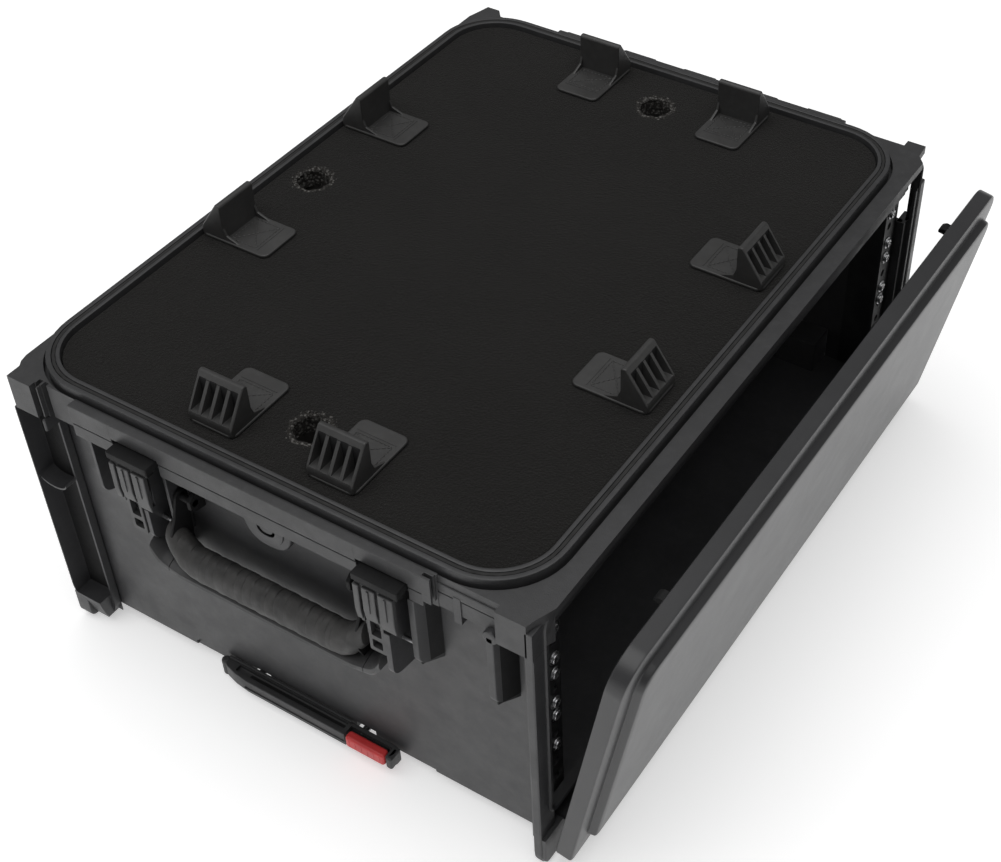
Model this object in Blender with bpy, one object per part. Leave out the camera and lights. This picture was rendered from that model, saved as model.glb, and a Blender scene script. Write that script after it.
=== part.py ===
"""Four-unit equipment rack case, lid lifted off, front cover leaning open.

Sizes are written in millimetres; every helper turns them into Blender's metres.
Case axes: +X out of the rack's open front end, -Y the latch and handle side, +Z up.
CENTRE moves the finished case so that the origin is the middle of its base.
"""

import math

import bmesh
import bpy
from mathutils import Matrix, Vector

MM = 0.001
GAP = 0.3  # clearance between pieces that touch
SHARP = 31.0  # degrees: flatter edges than this are shaded smooth

# Driving dimensions of the case
FRONT_X, BACK_X = 199.5, -202.0  # deck's open front edge and its back edge
HALF_Y = 268.0  # deck, latch side to hinge side
TOP_Z = 235.0  # rim plane above the ground
BAND_Z = 208.0  # lower edge of the deck's skirt
LIP_Z = 229.0  # lower edge of the deck's thin lip over the open front
WINDOW_X = (178.0, 194.0)  # open window through the far front corner
WINDOW_Z = 165.0
WALL_Y = 251.0  # outer face of the body's long walls
WALL = 4.0
BODY_Z0 = 13.0  # underside of the body
FLOOR_Z = 24.0
CEILING_Z = 206.5
BODY_TOP = 207.7
POST_X = 174.0  # inner edge of an end post
FRAME_X = 190.3  # inner face of an end frame's ring
RIB_TOP = 240.5  # raised rib that the lid closes over
RIB = (-199.0, 185.0, -259.6, 257.5, 47.0)  # rib's outer edge: x, x, y, y, corner radius
RIB_WIDTH = 9.2
CORNER_STEPS = 8
CARPET_Z = 237.0

# 19-inch rack standard
UNIT = 44.45
UNITS = 4
RACK_HOLE_Y = 465.1 / 2
RACK_CLEAR_Y = 450.0 / 2
RACK_Z0 = 26.7
HOLE_STEPS = (6.35, 22.225, 38.1)
RAIL_X = 186.0

# Leaning cover
LEAN = 10.6  # degrees from upright, top edge out
DOOR_X, DOOR_Z = 203.6, 18.0  # hinge line: the cover's lower inner edge
DOOR_H, DOOR_HALF = 213.0, 264.0
DOOR_RIM, DOOR_PANEL, DOOR_INSET = 12.0, 6.0, 15.0
DOOR_LOW_RADIUS = 4.0
PEG_Y = (-200.0, 200.0)

# Latches, handles, wheels
LATCH_X, LATCH_HALF = 94.0, 16.0
LATCH_PIVOT = (-264.0, 165.0)  # y, z
TRIGGER_PIVOT = (-275.6, 211.0)
HANDLE_PIVOT = (-259.0, 186.0)
GRIP = (-269.0, 151.0)
TUBE_X, TUBE_Z = 45.0, 17.2
WHEEL = (125.0, 250.0, 24.5)  # x either side, y, z
WHEEL_R = 22.0
WELL_HALF = 17.0

# Stabilisers: middle x, y and the compass turn of their slotted face (0 faces -Y)
STABILISERS = (
    (-53, -213, 0), (38, -213, 0), (138, -75, 90), (142, 67, 90),
    (60, 213, 180), (-62, 215, 180), (-160.5, 80, 270), (-160.5, -76, 270),
)
CABLE_HOLES = ((-2.0, 206.0), (-164.0, -3.0), (-2.0, -208.0))
HOLE_R = 12.0

CENTRE = (28.06, -3.9)

SILVER = ((0.55, 0.56, 0.58), 0.35, 1.0)
BLACK = ((0.035, 0.035, 0.036), 0.42, 0.0)
DARK = ((0.018, 0.018, 0.019), 0.5, 0.0)
RUBBER = ((0.02, 0.02, 0.02), 0.75, 0.0)
CARPET = ((0.014, 0.014, 0.014), 0.95, 0.0)
RED = ((0.62, 0.02, 0.03), 0.35, 0.0)


# Where a flat outline's two numbers and a level along the axis go in x, y, z
PLACES = {
    "Z": lambda a, b, level: (a, b, level),
    "X": lambda a, b, level: (level, a, b),
    "Y": lambda a, b, level: (a, level, b),
}


def clear_scene():
    for obj in list(bpy.data.objects):
        bpy.data.objects.remove(obj, do_unlink=True)


def link(name, bm):
    bmesh.ops.recalc_face_normals(bm, faces=bm.faces)
    mesh = bpy.data.meshes.new(name)
    bm.to_mesh(mesh)
    bm.free()
    mesh.shade_smooth()
    mesh.set_sharp_from_angle(angle=math.radians(SHARP))
    obj = bpy.data.objects.new(name, mesh)
    bpy.context.scene.collection.objects.link(obj)
    return obj


def prism(name, outline, low, high, axis="Z"):
    """A solid with this outline, from low to high along axis.

    The outline's two numbers are x, y for axis Z; y, z for axis X; and x, z for axis Y.
    """
    bm = bmesh.new()
    ends = [[bm.verts.new(Vector(point) * MM) for point in at(outline, level, axis)] for level in (low, high)]
    bm.faces.new(ends[0])
    bm.faces.new(ends[1][::-1])
    count = len(outline)
    for i in range(count):
        j = (i + 1) % count
        bm.faces.new((ends[0][i], ends[0][j], ends[1][j], ends[1][i]))
    return link(name, bm)


def sweep(name, loops):
    """Closed solid through loops of 3-D points with equal counts, the last one joined to the first."""
    bm = bmesh.new()
    rows = [[bm.verts.new(Vector(point) * MM) for point in loop] for loop in loops]
    for first, second in zip(rows, rows[1:] + rows[:1]):
        for i in range(len(first)):
            j = (i + 1) % len(first)
            bm.faces.new((first[i], first[j], second[j], second[i]))
    return link(name, bm)


def at(outline, level, axis="Z"):
    """A flat outline as 3-D points at this level on an axis."""
    place = PLACES[axis]
    return [place(a, b, level) for a, b in outline]


def ring(name, outer, inner, low, high, axis="Z"):
    """A prism with a hole: both outlines have the same number of points, in the same order."""
    levels = ((outer, low), (outer, high), (inner, high), (inner, low))
    return sweep(name, [at(outline, level, axis) for outline, level in levels])


def rounded(a0, a1, b0, b1, radius, steps=6, low_radius=None):
    """Outline of a rectangle with round corners; low_radius is for the two at b0."""
    points = []
    low = low_radius or radius
    corners = ((a1, b1, 0, radius), (a0, b1, 90, radius), (a0, b0, 180, low), (a1, b0, 270, low))
    for a, b, start, r in corners:
        ca = a - math.copysign(r, a - (a0 + a1) / 2)
        cb = b - math.copysign(r, b - (b0 + b1) / 2)
        for k in range(steps + 1):
            turn = math.radians(start + 90 * k / steps)
            points.append((ca + r * math.cos(turn), cb + r * math.sin(turn)))
    return points


def circle(a, b, radius, sides=16):
    return [
        (a + radius * math.cos(2 * math.pi * k / sides), b + radius * math.sin(2 * math.pi * k / sides))
        for k in range(sides)
    ]


def box(name, x0, x1, y0, y1, z0, z1):
    return prism(name, ((x0, y0), (x1, y0), (x1, y1), (x0, y1)), z0, z1)


def rod(name, axis, a, b, radius, low, high, sides=20):
    return prism(name, circle(a, b, radius, sides), low, high, axis)


def tube(name, axis, a, b, radius, bore, low, high, sides=16):
    return ring(name, circle(a, b, radius, sides), circle(a, b, bore, sides), low, high, axis)


def wheel_ring(name, a, b, profile, sides):
    """A ring turned about a line along X; the profile's points are (radius, x)."""
    return sweep(name, [at(circle(a, b, radius, sides), x, "X") for radius, x in profile])


def combine(obj, others, operation="DIFFERENCE"):
    """Adds or cuts the other solids, which stay as hidden cutters."""
    for other in others:
        modifier = obj.modifiers.new(other.name, "BOOLEAN")
        modifier.operation = operation
        modifier.solver = "EXACT"
        modifier.object = other
        other.hide_render = True
        other.display_type = "WIRE"
    return obj


def cut(obj, *others):
    return combine(obj, others)


def join(obj, *others):
    return combine(obj, others, "UNION")


def bevel(obj, width, segments=2, angle=40):
    modifier = obj.modifiers.new("Bevel", "BEVEL")
    modifier.width = width * MM
    modifier.segments = segments
    modifier.limit_method = "ANGLE"
    modifier.angle_limit = math.radians(angle)
    return obj


def material(obj, finish):
    colour, roughness, metallic = finish
    shade = bpy.data.materials.new(obj.name)
    shade.use_nodes = True
    shader = shade.node_tree.nodes["Principled BSDF"]
    shader.inputs["Base Color"].default_value = (*colour, 1.0)
    shader.inputs["Roughness"].default_value = roughness
    shader.inputs["Metallic"].default_value = metallic
    obj.data.materials.append(shade)
    return obj


def turned(obj, degrees, about, axis="Y"):
    """Bakes a turn about a line through `about` (in mm) into the mesh."""
    centre = Vector(about) * MM
    turn = Matrix.Rotation(math.radians(degrees), 4, axis)
    obj.data.transform(Matrix.Translation(centre) @ turn @ Matrix.Translation(-centre))
    return obj


def mirror_pair(sign, low, high):
    """The span from low to high on one side of the middle, in rising order."""
    return (low, high) if sign > 0 else (-high, -low)


# ---------------------------------------------------------------- body and deck
def case_shell():
    shell = box("case_shell", -190, 190, -WALL_Y, WALL_Y, BODY_Z0, BODY_TOP)
    inside = WALL_Y - WALL
    cuts = [box("shell_bay", -191, 191, -inside, inside, FLOOR_Z, CEILING_Z - 2)]
    cuts.append(box("shell_handle_notch", -100, 100, -252, -240, BODY_Z0 - 1, 22))
    for side in (-1, 1):
        x0, x1 = mirror_pair(side, TUBE_X - 7, TUBE_X + 7)
        cuts.append(box("shell_tube_slot", x0, x1, -252, 196, BODY_Z0 - 1, 22.5))
        x0, x1 = mirror_pair(side, WHEEL[0] - WELL_HALF, WHEEL[0] + WELL_HALF)
        cuts.append(box("shell_wheel_well", x0, x1, 223, 252, BODY_Z0 - 1, 52))
    window = (WINDOW_X[0], 192, inside - 1, WALL_Y + 1, WINDOW_Z + 13, BODY_TOP + 1)
    cuts.append(box("shell_corner_window", *window))
    for x, y in CABLE_HOLES:
        cuts.append(rod("shell_cable_hole", "Z", x, y, HOLE_R, CEILING_Z - 4, BODY_TOP + 1, 16))
    cut(shell, *cuts)
    fins = []
    for side in (-1, 1):
        for near, far, foot in ((74.2, 77.2, 142), (111, 116, 146), (165, 170, 150)):
            a, b = mirror_pair(side, min(near, far), max(near, far))
            outline = (
                (-WALL_Y + 0.5, foot), (-260, foot - 3), (-265.5, foot + 3), (-267.5, foot + 12),
                (-267.5, 204), (-WALL_Y + 0.5, 204),
            )
            fins.append(prism("shell_fin", outline, a, b, "X"))
        a, b = mirror_pair(side, 60, 64)
        root = -WALL_Y + 0.5
        outline = ((root, 176), (-259, 178), (-265, 182), (-265, 190), (-259, 195), (root, 197))
        fins.append(prism("shell_handle_ear", outline, a, b, "X"))
    join(shell, *fins)
    pins = []
    for side in (-1, 1):
        for (y, z), radius, span in (
            (LATCH_PIVOT, 1.55, (73, 117)),
            (HANDLE_PIVOT, 2.55, (58.4, 78.7)),
        ):
            a, b = mirror_pair(side, *span)
            pins.append(rod("shell_pin_hole", "X", y, z, radius, a, b, 16))
    cut(shell, *pins)
    return material(shell, BLACK)


def rib_outline(inset):
    """The rib's outer outline, moved in by this much."""
    x0, x1, y0, y1, radius = RIB
    return rounded(x0 + inset, x1 - inset, y0 + inset, y1 - inset, radius - inset, CORNER_STEPS)


def rib_loop(inset, z):
    return at(rib_outline(inset), z)


def deck_frame():
    edge = rounded(BACK_X, FRONT_X, -HALF_Y, HALF_Y, 3, CORNER_STEPS)
    groove = RIB_TOP - 2.8
    deck = sweep("deck_frame", (
        at(edge, BAND_Z), at(edge, TOP_Z),
        rib_loop(0, TOP_Z), rib_loop(0, RIB_TOP), rib_loop(3.6, RIB_TOP), rib_loop(3.6, groove),
        rib_loop(6.2, groove), rib_loop(6.2, RIB_TOP),
        rib_loop(RIB_WIDTH, RIB_TOP), rib_loop(RIB_WIDTH, BAND_Z),
    ))
    cuts = []
    for side in (-1, 1):
        x0, x1 = mirror_pair(side, LATCH_X - LATCH_HALF - 2, LATCH_X + LATCH_HALF + 2)
        cuts.append(box("deck_latch_notch", x0, x1, -269, -262, BAND_Z - 1, 222))
    cuts.append(box("deck_hinge_seat", -128, 128, 262.3, 269, BAND_Z - 1, TOP_Z + 1))
    cuts.append(box("deck_front_mouth", 191, FRONT_X + 1, -249, 249, BAND_Z - 1, LIP_Z))
    cuts.append(box("deck_corner_window", *WINDOW_X, 248, HALF_Y + 1, BAND_Z - 1, LIP_Z))
    cut(deck, *cuts)
    return material(deck, BLACK)


def end_frame(name, side):
    """The ring at one open end with its two posts, which stand on their feet.

    The back posts are wide; the front ones are only as thick as the ring.
    """
    face = FRONT_X - 0.4 if side > 0 else 0.4 - BACK_X
    post_x = FRAME_X if side > 0 else POST_X
    x0, x1 = mirror_pair(side, FRAME_X, face)
    top = BAND_Z - GAP
    frame = box(name, x0, x1, -HALF_Y, HALF_Y, 4, top)
    parts = []
    for edge in (-1, 1):
        a, b = mirror_pair(side, post_x, face)
        wall = edge * (WALL_Y + GAP)
        post = (
            (wall, 8), (edge * 254, 1.6), (edge * 257, 0), (edge * 262, 0), (edge * 266, 3),
            (edge * HALF_Y, 14), (edge * HALF_Y, top), (wall, top),
        )
        parts.append(prism("frame_post", post, a, b, "X"))
    join(frame, *parts)
    clear = 246.4 if side > 0 else 243
    cuts = [prism("frame_opening", rounded(-clear, clear, FLOOR_Z + 0.6, 204, 6, 2), x0 - 1, x1 + 1, "X")]
    a, b = mirror_pair(side, face - 3, face + 1)
    outer, inner = rounded(-261, 261, 10, 206, 8, 2), rounded(-250, 250, 18, 205, 7, 2)
    cuts.append(ring("frame_channel", outer, inner, a, b, "X"))
    if side > 0:
        cuts.append(box("frame_corner_window", *WINDOW_X, WALL_Y, HALF_Y + 1, WINDOW_Z, BAND_Z))
        cuts.append(box("frame_mouth", 193, face + 1, -249, 249, 203, BAND_Z))
    cut(frame, *cuts)
    if side > 0:
        reach = (face - 0.6, DOOR_X + 9)
        sills = [box("frame_sill", *reach, y - 20, y + 20, 10, DOOR_Z - 3) for y in (-180, 0, 180)]
        join(frame, *sills)
    return material(frame, BLACK)


def sheet_with_holes(name, z0, z1, finish):
    sheet = prism(name, rib_outline(RIB_WIDTH + GAP), z0, z1)
    cut(sheet, *(rod(name + "_hole", "Z", x, y, HOLE_R, z0 - 1, z1 + 1, 16) for x, y in CABLE_HOLES))
    return material(sheet, finish)


def lid_seal():
    seal = ring("lid_seal", rib_outline(3.9), rib_outline(5.9), RIB_TOP - 2.5, RIB_TOP - 0.6)
    return material(seal, RUBBER)


def hinge_strip():
    """The lid hinge's lower half on the deck's back edge, with knuckles on one pin."""
    strip = box("lid_hinge_strip", -127.7, 127.7, 262.6, 270, 214, 231)
    knuckles = [rod("hinge_knuckle", "X", 271, 229, 4.2, x - 14, x + 14, 16) for x in (-108, -54, 0, 54, 108)]
    join(strip, *knuckles)
    cut(strip, rod("hinge_bore", "X", 271, 229, 2.05, -130, 130, 16))
    material(strip, BLACK)
    material(rod("lid_hinge_pin", "X", 271, 229, 2.0, -124, 124, 16), SILVER)


def rack_rail(name, side, edge):
    """Steel angle with one rack hole row; side picks the case end, edge the wall."""
    x0, x1 = mirror_pair(side, RAIL_X - 2, RAIL_X)
    y0, y1 = mirror_pair(edge, RACK_CLEAR_Y, WALL_Y - WALL - GAP)
    z0, z1 = RACK_Z0 + 0.5, RACK_Z0 + UNITS * UNIT - 1.5
    rail = box(name, x0, x1, y0, y1, z0, z1)
    a, b = mirror_pair(side, RAIL_X - 32, RAIL_X - 1)
    c, d = mirror_pair(edge, WALL_Y - WALL - GAP - 2, WALL_Y - WALL - GAP)
    join(rail, box(name + "_flange", a, b, c, d, z0, z1))
    holes = [
        rod(name + "_hole", "X", edge * RACK_HOLE_Y, RACK_Z0 + unit * UNIT + step, 3.2, x0 - 1, x1 + 1, 8)
        for unit in range(UNITS)
        for step in HOLE_STEPS
    ]
    cut(rail, *holes)
    return material(rail, DARK)


# ---------------------------------------------------------------- cover
def lean(obj):
    return turned(obj, LEAN, (DOOR_X, 0, DOOR_Z))


def cover_outline(inset, radius, steps=4):
    """The cover's outline, upright, moved in by this much."""
    half = DOOR_HALF - inset
    low, top = DOOR_Z + inset, DOOR_Z + DOOR_H - inset
    return rounded(-half, half, low, top, radius, steps, DOOR_LOW_RADIUS)


def front_cover():
    """A shallow tray: rim, raised middle, a hollow behind and a groove for the seal."""
    face = DOOR_X + DOOR_RIM
    cover = prism("front_cover", cover_outline(0, 20), DOOR_X, face, "X")
    panel = prism("cover_panel", cover_outline(DOOR_INSET, 16), face - 1, face + DOOR_PANEL, "X")
    low = DOOR_X - 1
    hollow = prism("cover_hollow", cover_outline(22, 14, 3), low, DOOR_X + 13.5, "X")
    groove = ring("cover_groove", cover_outline(12, 14, 3), cover_outline(16, 10, 3), low, DOOR_X + 2.5, "X")
    top = DOOR_Z + DOOR_H
    slots = [
        box("cover_peg_slot", DOOR_X - 1, DOOR_X + 9.5, y - 4.6, y + 4.6, top - 12.1, top - 4) for y in PEG_Y
    ]
    for piece in (cover, panel, hollow, groove, *slots):
        lean(piece)
    join(cover, panel)
    cut(cover, hollow, groove, *slots)
    return material(cover, BLACK)


def cover_seal():
    outer, inner = cover_outline(12.3, 13.7, 3), cover_outline(15.7, 10.3, 3)
    seal = ring("cover_seal", outer, inner, DOOR_X + 0.2, DOOR_X + 2.2, "X")
    return material(lean(seal), RUBBER)


def cover_catch(name, y):
    """Spring plunger in the cover's inner face; closed, it sits under the deck's lip."""
    top = DOOR_Z + DOOR_H
    body = box(name, DOOR_X - 6.5, DOOR_X + 9.2, y - 4.3, y + 4.3, top - 9.5, top - 4.3)
    bevel(body, 1.2, 2)
    lean(body)
    return material(body, DARK)


# ---------------------------------------------------------------- latches and handles
def latch_side(side, tag):
    x = side * LATCH_X
    half = LATCH_HALF
    py, pz = LATCH_PIVOT
    outline = ((x - half, 158), (x + half, 158), (x + half, 219), (x - half, 219))
    body = prism("latch_body_" + tag, outline, -274, -269.5, "Y")
    knuckle = rod("latch_knuckle", "X", py, pz, 5.2, x - half, x + half, 16)
    web = box("latch_web", x - half, x + half, -270.5, py, 161, 169)
    hook = box("latch_hook", x - half + 4, x + half - 4, -276.5, -265.5, 213.5, 219)
    join(body, knuckle, web, hook)
    cuts = [rod("latch_bore", "X", py, pz, 1.55, x - half - 1, x + half + 1, 16)]
    for step in (-1, 1):
        cuts.append(box("latch_window", x + step * 7 - 3.6, x + step * 7 + 3.6, -275, -262, 172, 188))
    cut(body, *cuts)
    ty, tz = TRIGGER_PIVOT
    trigger = box("latch_trigger_" + tag, x - 12.5, x + 12.5, -276.6, -274.6, 190, 211)
    middles = (x - 10, x, x + 10)
    prongs = [box("trigger_prong", m - 2.5, m + 2.5, -277.6, -274.6, 186, 211.8) for m in middles]
    join(trigger, *prongs)
    a, b = x - half - 2.6, x + half + 2.6
    pin = rod("latch_pin_" + tag, "X", py, pz, 1.5, a, b, 16)
    material(pin, SILVER)
    return material(body, BLACK), material(trigger, BLACK)


def carry_handle():
    py, pz = HANDLE_PIVOT
    gy, gz = GRIP
    core = prism("carry_handle_core", rounded(-73.6, 73.6, gz - 4, gz + 4, 3, 1), gy - 4, gy + 4, "Y")
    parts = []
    for side in (-1, 1):
        a, b = mirror_pair(side, 66.5, 73.6)
        arm = (
            (py + 5.5, pz - 1), (py + 4, pz + 4), (py, pz + 5.5), (py - 4, pz + 4), (py - 6, pz - 2),
            (gy - 9, gz + 14), (gy - 12, gz - 4), (gy - 11, gz - 24), (gy + 1, gz - 24), (gy + 7, gz - 8),
            (gy + 12, gz + 8),
        )
        parts.append(prism("handle_arm", arm, a, b, "X"))
    flange = (
        (-102, 144), (-99, 130), (-90, 127), (90, 127), (99, 130), (102, 144),
        (97, 144), (93, 134), (-93, 134), (-97, 144),
    )
    parts.append(prism("handle_flange", flange, gy - 11, gy - 3, "Y"))
    join(core, *parts)
    cut(core, *(rod("handle_bore", "X", py, pz, 2.55, s * 70 - 8, s * 70 + 8, 16) for s in (-1, 1)))
    grip = rod("carry_grip", "X", 0, 0, 14, -66, 66, 24)
    grip.data.transform(Matrix.Translation(Vector((0, gy, gz + 1)) * MM))
    cut(grip, box("grip_core_hole", -70, 70, gy - 4.3, gy + 4.3, gz - 4.3, gz + 4.3))
    for side, tag in ((-1, "left"), (1, "right")):
        material(rod("handle_pin_" + tag, "X", py, pz, 2.5, *mirror_pair(side, 60.4, 76.8), 16), SILVER)
    return material(core, BLACK), material(grip, RUBBER)


def trolley():
    """Pull handle: a grip on two tubes, and the release button that pushes two rods inside them."""
    grip = box("trolley_grip", -76, 76, -263.5, -252, 6.5, 21)
    bevel(grip, 2.5, 2)
    cuts = [
        box("grip_button_pocket", 37, 71, -264.5, -255, 9, 22),
        box("grip_bar_channel", -50, 70, -259.3, -253.3, 13.4, 19.6),
    ]
    button = box("release_button", 37.4, 70.6, -265, -258, 9.4, 21.6)
    bevel(button, 2.0, 3)
    bar = box("release_bar", -48.5, 68.5, -257.7, -255.7, 13.8, 19.2)
    pieces = {"trolley": [material(grip, BLACK)], "button": [material(button, RED), material(bar, DARK)]}
    for side, tag in ((-1, "left"), (1, "right")):
        x = side * TUBE_X
        cuts.append(rod("grip_rod_hole", "Y", x, TUBE_Z, 1.6, -255.5, -251, 12))
        pieces["trolley"].append(
            material(tube("trolley_tube_" + tag, "Y", x, TUBE_Z, 2.6, 1.6, -251.7, 186), SILVER))
        pieces["middle_" + tag] = [
            material(tube("trolley_middle_tube_" + tag, "Y", x, TUBE_Z, 3.7, 2.9, -234, 188), SILVER)]
        pieces["button"].append(
            material(rod("release_rod_" + tag, "Y", x, TUBE_Z, 1.2, -255.4, 182, 12), SILVER))
        material(tube("trolley_sleeve_" + tag, "Y", x, TUBE_Z, 4.9, 4.0, -236, 190), DARK)
    cut(grip, *cuts)
    return pieces


def wheel_set(side, tag):
    """Housing and axle stay with the case; the hub and its tyre, which turn, are returned."""
    x, y, z = side * WHEEL[0], WHEEL[1], WHEEL[2]
    a, b = x - WELL_HALF + GAP, x + WELL_HALF - GAP
    housing = box("wheel_housing_" + tag, a, b, 223.3, 256, BODY_Z0 + GAP, 51.7)
    cut(
        housing,
        box("housing_hollow", a + 3.5, b - 3.5, 225.6, 258, BODY_Z0 - 1, 49.6),
        rod("housing_bore", "X", y, z, 3.05, a - 1, b + 1, 16),
    )
    material(housing, BLACK)
    material(rod("wheel_axle_" + tag, "X", y, z, 3.0, a, b, 16), SILVER)
    hub = tube("wheel_hub_" + tag, "X", y, z, 15, 3.08, x - 10, x + 10, 28)
    half, edge = 9.5, 2.5
    tread = (
        (15.2, x - half), (WHEEL_R - edge, x - half), (WHEEL_R - edge * 0.3, x - half + edge * 0.3),
        (WHEEL_R, x - half + edge), (WHEEL_R, x + half - edge), (WHEEL_R - edge * 0.3, x + half - edge * 0.3),
        (WHEEL_R - edge, x + half), (15.2, x + half),
    )
    tyre = wheel_ring("wheel_tyre_" + tag, y, z, tread, 28)
    return [material(hub, DARK), material(tyre, RUBBER)]


# ---------------------------------------------------------------- on the carpet and the wall
def stabiliser(number, x, y, turn):
    """A thin base plate with a slotted wedge at its outer end; built facing -Y, then turned."""
    z = CARPET_Z + GAP
    half, length = 18.0, 56.0
    front = -length / 2
    plate = prism("stabiliser_%d" % number, rounded(-half, half, front, -front, 4, 2), z, z + 2.4)
    back = front + 20
    profile = ((front + 0.5, z + 1), (back, z + 1), (back, z + 30), (back - 4, z + 30), (front + 0.5, z + 6))
    join(plate, prism("stabiliser_wedge", profile, -half + 0.7, half - 0.7, "X"))
    slots = []
    for k in range(4):
        middle = -half + 5.6 + k * 8.27
        slot = ((front - 1, z + 9), (front + 14.5, z + 9), (front + 14.5, z + 24.5), (front + 9, z + 24.5))
        slots.append(prism("stabiliser_slot", slot, middle - 2.9, middle + 2.9, "X"))
    cut(plate, *slots)
    place = Matrix.Translation(Vector((x, y, 0)) * MM) @ Matrix.Rotation(math.radians(turn), 4, "Z")
    for piece in (plate, *(modifier.object for modifier in plate.modifiers)):
        piece.data.transform(place)
    return material(plate, DARK)


def valve_tab():
    """Pressure valve cover: a half oval under the deck's skirt."""
    turns = [math.radians(a) for a in range(180, 361, 20)]
    arc = [(17 * math.cos(turn), 203 + 17 * math.sin(turn)) for turn in turns]
    tab = prism("pressure_valve", arc, -WALL_Y - GAP - 5, -WALL_Y - GAP, "Y")
    return material(tab, BLACK)


# ---------------------------------------------------------------- joints and the origin
def hang(name, point, pieces, under=None):
    """Puts moving pieces, and their cutters, under an empty that stands on their joint's axis."""
    pivot = bpy.data.objects.new(name, None)
    bpy.context.scene.collection.objects.link(pivot)
    pivot.location = Vector(point) * MM
    back = Matrix.Translation(-pivot.location)
    for piece in pieces:
        cutters = [modifier.object for modifier in piece.modifiers if modifier.type == "BOOLEAN"]
        for obj in (piece, *cutters):
            obj.data.transform(back)
            obj.parent = pivot
    if under:
        pivot.parent = under
        pivot.location -= under.location
    return pivot


def place_on_centre():
    """Hangs everything from one empty, which puts the origin in the middle of the base."""
    root = bpy.data.objects.new("case_root", None)
    bpy.context.scene.collection.objects.link(root)
    for obj in list(bpy.data.objects):
        if obj is not root and obj.parent is None:
            obj.parent = root
    root.location = Vector((-CENTRE[0], -CENTRE[1], 0)) * MM


def moving_pieces():
    cover = hang("cover_hinge", (DOOR_X, 0, DOOR_Z), (front_cover(), cover_seal()))
    for y, tag in zip(PEG_Y, ("left", "right")):
        hang("catch_slide_" + tag, (DOOR_X, y, DOOR_Z), [cover_catch("cover_catch_" + tag, y)], cover)
    for side, tag in ((-1, "left"), (1, "right")):
        body, trigger = latch_side(side, tag)
        latch = hang("latch_hinge_" + tag, (side * LATCH_X, *LATCH_PIVOT), [body])
        hang("trigger_hinge_" + tag, (side * LATCH_X, *TRIGGER_PIVOT), [trigger], latch)
        hang("wheel_centre_" + tag, (side * WHEEL[0], *WHEEL[1:]), wheel_set(side, tag))
    hang("handle_hinge", (0, *HANDLE_PIVOT), carry_handle())
    pieces = trolley()
    slide = hang("trolley_slide", (0, -258, TUBE_Z), pieces["trolley"])
    hang("button_slide", (54, -258, TUBE_Z), pieces["button"], slide)
    for side, tag in ((-1, "left"), (1, "right")):
        hang("middle_slide_" + tag, (side * TUBE_X, -234, TUBE_Z), pieces["middle_" + tag])


def main():
    clear_scene()
    case_shell()
    deck_frame()
    end_frame("end_frame_front", 1)
    end_frame("end_frame_back", -1)
    sheet_with_holes("deck_board", BODY_TOP + GAP, 224, DARK)
    sheet_with_holes("foam_liner", 224 + GAP, CARPET_Z, CARPET)
    lid_seal()
    hinge_strip()
    for side, end in ((1, "front"), (-1, "back")):
        for edge, wall in ((-1, "left"), (1, "right")):
            rack_rail("rack_rail_%s_%s" % (end, wall), side, edge)
    for number, (x, y, turn) in enumerate(STABILISERS, 1):
        stabiliser(number, x, y, turn)
    valve_tab()
    moving_pieces()
    place_on_centre()


main()
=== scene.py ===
"""Looks of the four-unit equipment rack case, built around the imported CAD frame.

Shapes are written in case millimetres (the CAD's own axes: +X out of the open
front end, -Y the latch side, +Z up) and moved onto the frame by SHIFT.
"""

import math
import random

import bmesh
import bpy
from mathutils import Matrix, Vector, noise


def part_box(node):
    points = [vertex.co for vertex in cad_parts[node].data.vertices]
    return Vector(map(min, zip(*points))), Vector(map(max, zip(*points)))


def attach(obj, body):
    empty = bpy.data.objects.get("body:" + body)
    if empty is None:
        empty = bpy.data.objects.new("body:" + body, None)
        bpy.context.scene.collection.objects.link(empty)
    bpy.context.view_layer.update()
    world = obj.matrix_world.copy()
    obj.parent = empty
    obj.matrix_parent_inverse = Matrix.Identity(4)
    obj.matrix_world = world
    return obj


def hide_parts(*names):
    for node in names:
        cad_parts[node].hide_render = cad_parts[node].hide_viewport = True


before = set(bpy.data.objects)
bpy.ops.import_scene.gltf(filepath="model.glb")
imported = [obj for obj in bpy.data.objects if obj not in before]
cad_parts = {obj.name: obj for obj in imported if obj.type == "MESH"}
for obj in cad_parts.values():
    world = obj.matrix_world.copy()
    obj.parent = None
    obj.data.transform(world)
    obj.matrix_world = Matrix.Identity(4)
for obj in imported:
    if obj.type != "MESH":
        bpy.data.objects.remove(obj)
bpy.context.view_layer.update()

MM = 0.001
SHARP = math.radians(35)

# Deck and body
BACK_X, FRONT_X, HALF_Y = -202.0, 199.5, 268.0
TOP_Z, BAND_Z, LIP_Z = 235.0, 208.0, 229.0
WALL_Y, WALL, BODY_Z0, FLOOR_Z = 251.0, 4.0, 13.0, 24.0
BODY_X, BODY_TOP, POST_TOP = 190.0, 207.7, 207.6
RIB = (-199.0, 185.0, -259.6, 257.5, 47.0)
RIB_TOP, RIB_WIDTH = 240.5, 9.2
TROUGH = 2.3
CARPET_Z = 237.0
MOUTH_Y = 249.0
WINDOW_X = (178.0, 194.0)
WINDOW_Z = 178.0
BAND_Y, BAND_ROOT_Y = -268.4, -261.0

# Rack rails
RACK_HOLE_Y, RAIL_X = 232.55, 186.0
FRONT_SCREWS_Z = (194, 167, 153, 125, 113, 83)
BACK_SCREWS_Z = (190, 146, 101, 57)

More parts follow.
